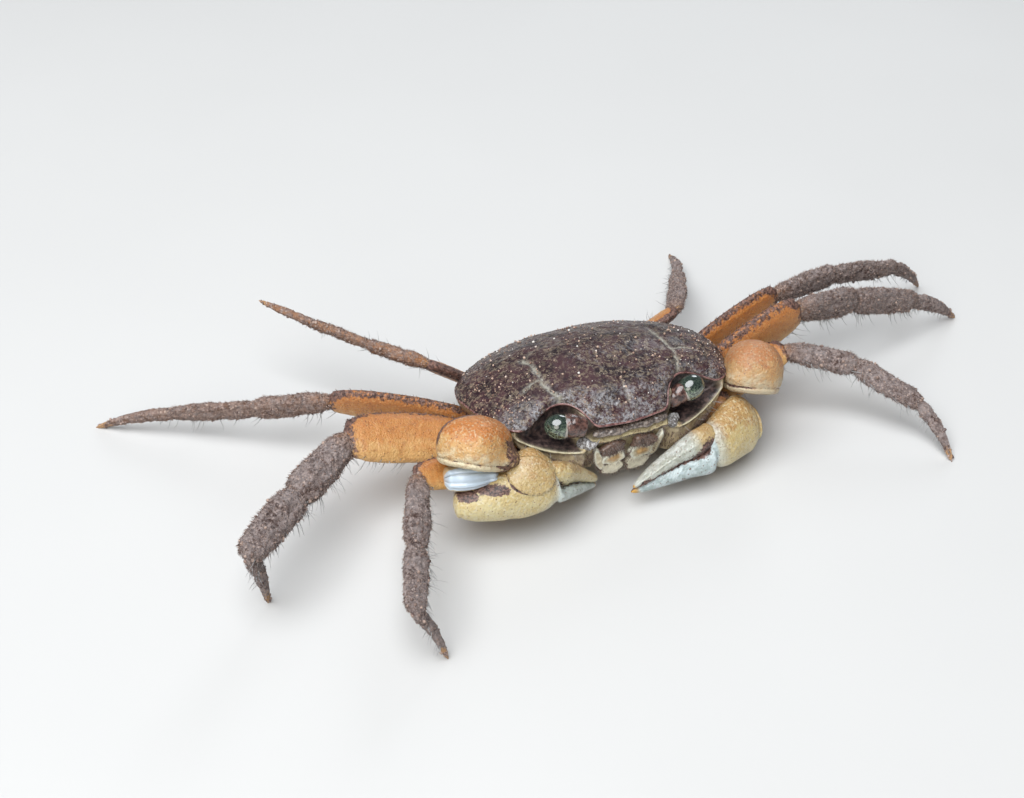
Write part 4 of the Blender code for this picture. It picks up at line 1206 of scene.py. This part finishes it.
def build_legs():
    """Eight walking legs of five articles, each with one coat of felt, crumbs and bristles."""
    orange = orange_paint("thigh", (0.41, 0.150, 0.036), (0.46, 0.190, 0.048), (0.54, 0.31, 0.115))
    crust, bristle = crust_paint(), bristle_paint()
    for side, pair in STANCE:
        joints, plane = leg_chain(side, pair)
        rng = np.random.default_rng(pair * 10 + SIDES[side] + 1)
        coat = Patchwork()
        for k, article in enumerate(ARTICLES):
            node = "leg%d_%s_%s" % (pair, article, side)
            inner = article in ("base", "merus")
            h = DEPTHS[pair][k]
            grid, up, t = article_grid(article, joints[k], joints[k + 1], plane, h, h * FLATNESS[k])
            ends = step(t, -0.02, 0.10) * step(t, 1.03, 0.92)
            surface = thigh_surface if inner else crust_surface
            lift, fields = surface(side, pair, article, grid, up, t, ends)
            grid = raised(grid, lift * (0.3 + 0.7 * ends))
            grid[..., 2] = np.maximum(grid[..., 2], 0)
            obj = rings_piece(node + "_skin", grid, orange if inner else crust, fields)
            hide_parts(node)
            leg_hair(pair, article, grid, coat, rng)
        obj = coat.make("leg%d_bristles_%s" % (pair, side), bristle, with_uv=True)


# ================= claws =================
# wrist, heel and far end of the palm, and finger tip (x and y from the body's middle, height above
# the floor), the wrist's half sizes, the hand's own up, its half height and half thickness; then where
# the movable and the fixed finger start and how high they are there, in the hand's half heights
CLAW = {
    "right": {"wrist": (-15.65, -7.1, 9.95), "size": (4.0, 3.4, 3.05), "heel": (-17.1, -8.9, 6.7),
              "end": (-9.2, -10.6, 6.4), "tip": (-3.5, -9.2, 3.0), "up": (0.26, 0.56, 0.79),
              "height": 3.6, "thick": 2.0, "roots": (0.16, -0.44), "roots_high": (0.30, 0.22)},
    "left": {"wrist": (15.15, -6.85, 8.95), "size": (3.1, 3.0, 3.3), "heel": (13.44, -9.4, 3.99),
             "end": (8.4, -10.9, 4.46), "tip": (-0.6, -11.5, 2.75), "up": (-0.20, 0.50, 0.84),
             "height": 2.75, "thick": 1.8, "roots": (0.42, -0.44), "roots_high": (0.46, 0.44)},
}
# place along the palm, how far up its middle lies, and the shares of its half height and half thickness
PALM_FORM = {
    "right": ((-0.185, -0.42, 0.03, 0.04), (-0.17, -0.42, 0.20, 0.32), (-0.10, -0.42, 0.36, 0.56),
              (0.02, -0.42, 0.46, 0.76), (0.16, -0.39, 0.54, 0.90), (0.34, -0.29, 0.67, 1.0),
              (0.47, -0.24, 0.71, 1.0), (0.62, -0.08, 0.88, 0.98), (0.80, 0.0, 0.88, 0.92),
              (0.94, -0.05, 0.72, 0.80), (1.02, -0.08, 0.56, 0.62)),
    "left": ((-0.235, 0.10, 0.04, 0.05), (-0.22, 0.10, 0.34, 0.40), (-0.14, 0.22, 0.80, 0.76),
             (0.02, 0.24, 1.08, 0.96), (0.25, 0.20, 1.10, 1.0), (0.55, 0.10, 1.02, 1.0),
             (0.82, 0.0, 0.92, 0.92), (0.96, -0.02, 0.80, 0.80), (1.03, -0.04, 0.60, 0.62)),
}
# how the two hands differ in colour: bluish fingers, grime, how dark the fingers' gap is, painted shade over
# the left wrist, the lobe over the palm
HAND = {"right": {"finger_blue": 0.10, "fixed_blue": 0.85, "palm_blue": 0.0, "lobe": 1.0, "gap_darkening": 0.05,
                  "skin_up": 0.30, "skin_from": 0.0, "skin_size": 1.0, "wrist_dirt": 1.0, "dull": 0.0},
        "left": {"finger_blue": 0.70, "fixed_blue": 0.9, "palm_blue": 0.55, "lobe": 0.0, "gap_darkening": 0.42,
                 "skin_up": 0.40, "skin_from": 0.20, "skin_size": 0.7, "wrist_dirt": 0.72, "dull": 0.30}}


def loft(stations, spacing):
    """A smooth tube through stations (centre, half height, half thickness, direction), and the place
    of each ring in the list of stations."""
    centres, high, wide, facing = (np.array([s[k] for s in stations], float) for k in range(4))
    run = np.concatenate([[0], np.cumsum(np.linalg.norm(np.diff(centres, axis=0), axis=1))])
    at = np.linspace(0, run[-1], int(run[-1] / spacing))
    place = np.interp(at, run, np.arange(len(run)))
    return (spline(run, centres, at), np.maximum(spline(run, high, at), 0.02),
            np.maximum(spline(run, wide, at), 0.02), spline(run, unit(facing), at), place)


def build_claws():
    """Both claws: arm, wrist, palm with its fixed finger, movable finger and the skin at the wrist."""
    paints = {"hand": claw_paint(), "skin": membrane_paint(),
              "arm": orange_paint("arm", (0.32, 0.135, 0.045), (0.41, 0.22, 0.08), (0.49, 0.36, 0.20)),
              "wrist": orange_paint("wrist", (0.45, 0.160, 0.034), (0.52, 0.30, 0.110), (0.60, 0.52, 0.35))}
    for side, claw in CLAW.items():
        s = SIDES[side]
        wrist, heel, end, tip = (np.array(claw[k]) + [SHIFT[0], SHIFT[1], 0]
                                 for k in ("wrist", "heel", "end", "tip"))
        up = unit(claw["up"])
        build_arm(side, body(s * 6.0, -6.6, -5.9), wrist + [-s * 2.6, 0.7, -3.1], paints["arm"])
        build_wrist(side, wrist, heel, up, claw["size"], paints["wrist"])
        hand = Hand(side, heel, end, tip, up)
        build_palm(hand, paints["hand"])
        build_finger(hand, paints["hand"])
        build_wrist_skin(hand, paints["skin"])


def build_arm(side, shoulder, elbow, paint):
    """The upper arm, from the shell to the wrist, toothed along its edges."""
    t = np.linspace(-0.04, 1.06, 90)
    high = spline((-0.04, 0.05, 0.3, 0.75, 0.98, 1.06), (0.4, 1.05, 1.35, 1.35, 1.1, 0.4), t)
    wide = spline((-0.04, 0.05, 0.3, 0.75, 0.98, 1.06), (0.4, 1.0, 1.05, 1.05, 0.95, 0.4), t)
    grid, up, _ = sweep(shoulder + (elbow - shoulder) * t[:, None], high, wide, (0, 1, 0), 64)
    if grid[45, 16, 2] < grid[45, 48, 2]:
        up = -up
    bead, _ = cells(grid, 0.36, 41)
    teeth = np.maximum(0, np.sin(t * 60))[:, None] ** 2 * step(np.abs(up), 0.85, 1.0) * 0.12
    dirt = 0.15 + 0.4 * step(up, 0.6, 1.0) + 0.3 * step(t, 0.85, 1.0)[:, None]
    obj = rings_piece("arm_skin_" + side, raised(grid, (0.5 - bead) * 0.08 + teeth), paint,
                      {"up": up, "dirt": dirt})
    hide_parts("arm_" + side)


def build_wrist(side, wrist, heel, up, size, paint):
    """The wrist: a granular dome, an angle towards the mouth and a smooth pale lip over the hand."""
    s = SIDES[side]
    down = unit(heel - wrist)
    u = unit(up - down * np.dot(up, down))
    v = np.cross(down, u)
    inner = unit(np.array([-s * 0.87, -0.47, -0.13]))
    # t runs down the dome, from -1 at its top, and folds back under the lip at the end
    t = np.concatenate([-np.cos(np.linspace(0.02, 1, 110) * 2.16), [0.585, 0.56, 0.50]])[:, None]
    r = np.sqrt(np.maximum(0, 1 - np.abs(np.clip(t, -1, 0.56)) ** 2.3))
    r[-3:] = r[-4] * np.array([[0.965], [0.90], [0.75]])
    a = circle(128)
    c, q = (np.sign(k) * np.abs(k) ** 0.84 for k in (np.cos(a), np.sin(a)))
    spoke = (v * size[0]) * c[:, None] + (u * size[1]) * q[:, None]
    grid = wrist + (down * size[2] * t)[:, None] + r[..., None] * spoke
    towards = unit(spoke) @ inner
    corner = bump(1 - towards, 0.18) * bump(t - 0.20, 0.26)
    lip = step(t, 0.40, 0.46) * step(t, 0.56, 0.54)
    line = bump(t - 0.39, 0.035)
    bead, mark = cells(grid, 0.30, 43)
    lift = (0.95 * corner + 0.09 * lip - 0.07 * line + (0.5 - bead) * 0.075 * (1 - lip) * (0.4 + mark)
            + 0.12 * noise(grid, 2.4, 44, 2) + 0.03 * noise(grid, 0.35, 45)) * step(r, 0.3, 0.5)
    edge_band = step(towards, 0.55, 0.92) * step(t, -0.75, -0.3)
    back = step(-towards, 0.70, 0.95) * step(t, 0.30, -0.05)
    # the dull field dims the whole left wrist with painted shade
    fields = {"up": np.clip(-0.1 - 1.35 * t, -1, 1) * (1 - lip) - lip,
              "dirt": ((0.57 * edge_band + 0.66 * back) * HAND[side]["wrist_dirt"] + 0.50 * line
                       + 0.30 * step(t, -0.80, -0.95)), "dull": HAND[side]["dull"]}
    obj = rings_piece("wrist_skin_" + side, raised(grid, lift), paint, fields)
    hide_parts("wrist_" + side)


class Hand:
    """Where a hand lies: heel and far end of the palm, finger tip, and its own three directions."""

    def __init__(self, side, heel, end, tip, up):
        self.side, self.heel, self.end, self.tip, self.up = side, heel, end, tip, up
        self.tall, self.thick = CLAW[side]["height"], CLAW[side]["thick"]
        self.span = end - heel
        self.length = np.linalg.norm(self.span)
        self.ahead = self.span / self.length
        self.across = np.cross(self.ahead, up)
        self.outer = -SIDES[side] * self.across
        self.look = HAND[side]

    def relief(self, grid, lift, high, wide):
        """The grid raised, but not where it is very thin, and kept off the floor."""
        grid = raised(grid, lift * step(np.minimum(high, wide), 0.1, 0.5)[:, None])
        grid[..., 2] = np.maximum(grid[..., 2], 0.05)
        return grid


def build_palm(hand, paint):
    """The palm and the fixed finger that grows out of its lower end."""
    look, tall, thick, up, ahead = hand.look, hand.tall, hand.thick, hand.up, hand.ahead
    fixed_h = tall * CLAW[hand.side]["roots_high"][1]
    low_tip = hand.tip - up * 0.55 - hand.outer * 0.65
    root = hand.end + up * (tall * CLAW[hand.side]["roots"][1]) + ahead * 0.75
    fixed = low_tip - root
    stations = [(hand.heel + hand.span * t + up * (tall * off), tall * h, thick * w, ahead)
                for t, off, h, w in PALM_FORM[hand.side]]
    last_palm = len(stations) - 1
    stations += [(root, fixed_h, thick * 0.50, ahead + unit(fixed) * 0.5)]
    stations += [(root + fixed * t, fixed_h * h, thick * w, fixed)
                 for t, h, w in ((0.30, 0.80, 0.40), (0.62, 0.60, 0.30), (0.88, 0.36, 0.20))]
    stations += [(root + fixed * 0.97, 0.22, 0.20, fixed), (low_tip, 0.07, 0.07, fixed)]
    centres, high, wide, facing, place = loft(stations, 0.085)
    place = place[:, None]
    grid, share, thin = sweep(centres, high, wide, hand.across, 128, facing=facing)
    # a: along the palm from 0 to 1; b: how far up, in half heights; the lobe is the raised field over it
    a, b = (grid - hand.heel) @ ahead / hand.length, (grid - hand.heel) @ up / tall
    on_palm = step(place, last_palm + 0.6, last_palm - 0.4)
    facing_out = step(-SIDES[hand.side] * thin, -0.3, 0.1)
    lobe_d = np.hypot((a - 0.73) / 0.285, (b - 0.36) / 0.50)
    lobe = step(lobe_d, 1.02, 0.96) * facing_out * look["lobe"] * on_palm
    crest = bump(b + 0.10 + 0.30 * (a - 0.5), 0.045) * step(a, 0.42, 0.5) * step(a, 1.0, 0.8) * facing_out
    pits, pit_mark = cells(grid, 0.42, 51)
    bead, mark = cells(grid, 0.26, 52)
    bite = np.maximum(0, np.sin(place * 11)) * step(share, 0.80, 1.0) * (1 - on_palm) * 0.10
    dimples = 0.05 * np.maximum(0, 0.22 - pits) * 5 * (pit_mark > 0.5)
    lift = (0.25 * lobe * (1 + 0.5 * step(lobe_d, 1, 0)) - dimples + 0.05 * crest + bite
            + (0.5 - bead) * 0.05 * (0.3 + mark) * (0.4 + 0.8 * step(b, 0, 0.7))
            + 0.04 * noise(grid, 1.3, 53, 2))
    near_tip = step(place, last_palm + 4.1, last_palm + 5.0)
    blotch = np.maximum(bump(np.hypot((a + 0.05) / 0.16, (b + 0.17) / 0.24), 1.0),
                        bump(np.hypot((a - 0.24) / 0.28, (b + 0.02) / 0.20), 1.0)) * facing_out * look["lobe"]
    # painted shadow: a dark line round the lobe's edge on the palm
    lobe_shadow = bump(lobe_d - 1.03, 0.05) * facing_out * on_palm * look["lobe"]
    blue = look["fixed_blue"] * (1 - on_palm) + look["palm_blue"] * step(a, 0.0, 0.8) * step(b, -1.0, -0.2)
    blue = np.maximum(blue * step(a, 0.75, 1.0), 0.75 * look["fixed_blue"] * step(a - 0.35 * b, 0.98, 1.22))
    # darker along the edge that faces the other finger
    gap = 0.35 * step(share, 0.75, 1.0) + look["gap_darkening"] * step(share, 0.2, 0.9) + 0.14 * look["fixed_blue"]
    fields = {"up": np.clip(b, -1, 1), "blue": np.clip(blue, 0, 1) * (1 - near_tip), "tip": near_tip,
              "orange": 0.35 * lobe + 0.4 * step(a, 0.1, -0.1) * step(b, -0.5, 0),
              "dirt": 0.95 * blotch + 0.55 * lobe_shadow + gap * (1 - on_palm)}
    obj = rings_piece("palm_skin_" + hand.side, hand.relief(grid, lift, high, wide), paint, fields)
    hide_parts("palm_" + hand.side)


def build_finger(hand, paint):
    """The movable finger, from inside the palm to the tip of the claw."""
    look, tall, thick, up, ahead = hand.look, hand.tall, hand.thick, hand.up, hand.ahead
    left = hand.side == "left"
    root_h = tall * CLAW[hand.side]["roots_high"][0]
    root = hand.end + up * (tall * CLAW[hand.side]["roots"][0]) + ahead * 0.8
    moving = hand.tip - root
    stations = [(root - ahead * back, root_h * h, thick * w, ahead)
                for back, h, w in ((1.75, 0.35, 0.2), (1.45, 0.78, 0.42), (0.30, 1.0, 0.52))]
    stations += [(root + moving * 0.10, root_h * 1.04, thick * 0.52, ahead + unit(moving))]
    stations += [(root + moving * t + up * (tall * rise), root_h * h, thick * w, moving) for t, rise, h, w in
                 ((0.36, 0.05, 0.82, 0.42), (0.66, 0.05, 0.58, 0.31), (0.88, 0.02, 0.38, 0.20))]
    stations += [(root + moving * 0.97 + up * (tall * 0.005), 0.24, 0.20, moving),
                 (hand.tip, 0.08, 0.08, moving)]
    centres, high, wide, facing, place = loft(stations, 0.08)
    place = place[:, None]
    grid, share, _ = sweep(centres, high, wide, hand.across, 104, facing=facing)
    bead, mark = cells(grid, 0.26, 55)
    bite = np.maximum(0, np.sin(place * 12)) * step(share, -0.80, -1.0) * 0.10
    keel = bump(share - 0.75, 0.12) + bump(share - 0.1, 0.12)
    lift = (0.5 - bead) * 0.05 * (0.3 + mark) + 0.035 * noise(grid, 1.0, 56, 2) + bite + 0.06 * keel
    near_tip = step(place, 7.0, 7.9)
    base = step(place, 3.4, 2.5)
    patch = 0.12 + 0.80 * bump(place - 6.0, 0.40) * step(share, 0.6, -0.4)
    # the lower edge, facing the fixed finger, is darker
    dirt = ((0.44 if left else 0.30) * base * step(share, 1.0, -0.4) + patch * look["finger_blue"]
            + look["gap_darkening"] * step(share, 0.0, -0.7) + 0.30 * step(share, -0.7, -1.0))
    fields = {"up": share, "blue": look["finger_blue"] * (1 - near_tip) * (1 - base), "tip": near_tip,
              "orange": (0.5 if left else 0.15) * base, "dirt": dirt}
    obj = rings_piece("finger_skin_" + hand.side, hand.relief(grid, lift, high, wide), paint, fields)
    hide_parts("finger_" + hand.side)


def build_wrist_skin(hand, paint):
    """The bluish-white folded skin between wrist and hand."""
    look = hand.look
    run = np.linspace(-0.30, 0.36, 90)
    t = (run + look["skin_from"])[:, None]
    middle = hand.heel + hand.span * t + hand.up * (hand.tall * look["skin_up"]) - hand.outer * 0.15
    places = (-0.30, -0.27, -0.22, 0.2, 0.33, 0.36)
    half = spline(places, (0.5, 0.95, 1.10, 0.90, 0.55, 0.3), run) * look["skin_size"]
    deep = spline(places, (0.8, 1.45, 1.75, 1.75, 1.2, 0.5), run) * look["skin_size"]
    grid, share, _ = sweep(middle, half, deep, hand.across, 96, square=0.45)
    crease = bump(share - 0.42, 0.07) + bump(share + 0.28, 0.06) + 0.7 * bump(share + 0.75, 0.06)
    grid = raised(grid, 0.05 * noise(grid, 1.1, 57, 2) - 0.20 * crease)
    # fold field: where painted shade darkens the creases
    obj = rings_piece("wrist_membrane_" + hand.side, grid, paint,
                      {"fold": np.clip(crease, 0, 1), "edge": step(np.abs(share), 0.75, 1.0)})


# ================= camera, light, floor =================
# the photo's camera: millimetres, degrees, and millimetres of lens on a 36 mm sensor
CAMERA_AT, CAMERA_TURN, LENS = (-53.26, -101.61, 99.58), (50.0, 0.0, -23.7), 49.63
# lamps: place and width in metres, watts, colour
LAMPS = {"key": ((-0.16, -0.08, 0.45), 0.52, 4.2, (0.95, 0.975, 1.0)),
         "fill": ((-0.30, -0.35, 0.25), 0.30, 0.7, (1.0, 0.95, 0.88)),
         "back": ((0.30, 0.35, 0.25), 0.20, 0.55, (0.9, 0.95, 1.0))}


def build_stage():
    """The camera, a pale floor, a dim bluish sky and three round lamps."""
    scene = bpy.context.scene
    camera = bpy.data.objects.new("camera", bpy.data.cameras.new("camera"))
    camera.location = Vector(CAMERA_AT) * MM
    camera.rotation_euler = Euler([radians(a) for a in CAMERA_TURN])
    camera.data.lens = LENS
    camera.data.sensor_width = 36
    camera.data.clip_start, camera.data.clip_end = 0.005, 20
    scene.collection.objects.link(camera)
    scene.camera = camera
    scene.view_settings.view_transform = "Standard"
    bpy.ops.mesh.primitive_plane_add(size=6)
    floor = bpy.context.object
    floor.name = "floor"
    floor.data.materials.append(floor_paint())
    world = bpy.data.worlds.new("studio")
    world.use_nodes = True
    sky = world.node_tree.nodes["Background"].inputs
    sky["Color"].default_value = (0.88, 0.93, 1.0, 1)
    sky["Strength"].default_value = 0.17
    scene.world = world
    for name, (at, size, watts, colour) in LAMPS.items():
        lamp = bpy.data.lights.new(name, "AREA")
        lamp.shape = "DISK"
        lamp.size, lamp.energy, lamp.color = size, watts, colour
        obj = bpy.data.objects.new(name, lamp)
        obj.location = at
        obj.rotation_euler = (-Vector(at)).to_track_quat("-Z", "Y").to_euler()
        scene.collection.objects.link(obj)


build_stage()
build_shell()
build_rim()
build_shell_grains()
build_thorax()
build_abdomen()
build_eyes()
build_mouth()
build_legs()
build_claws()
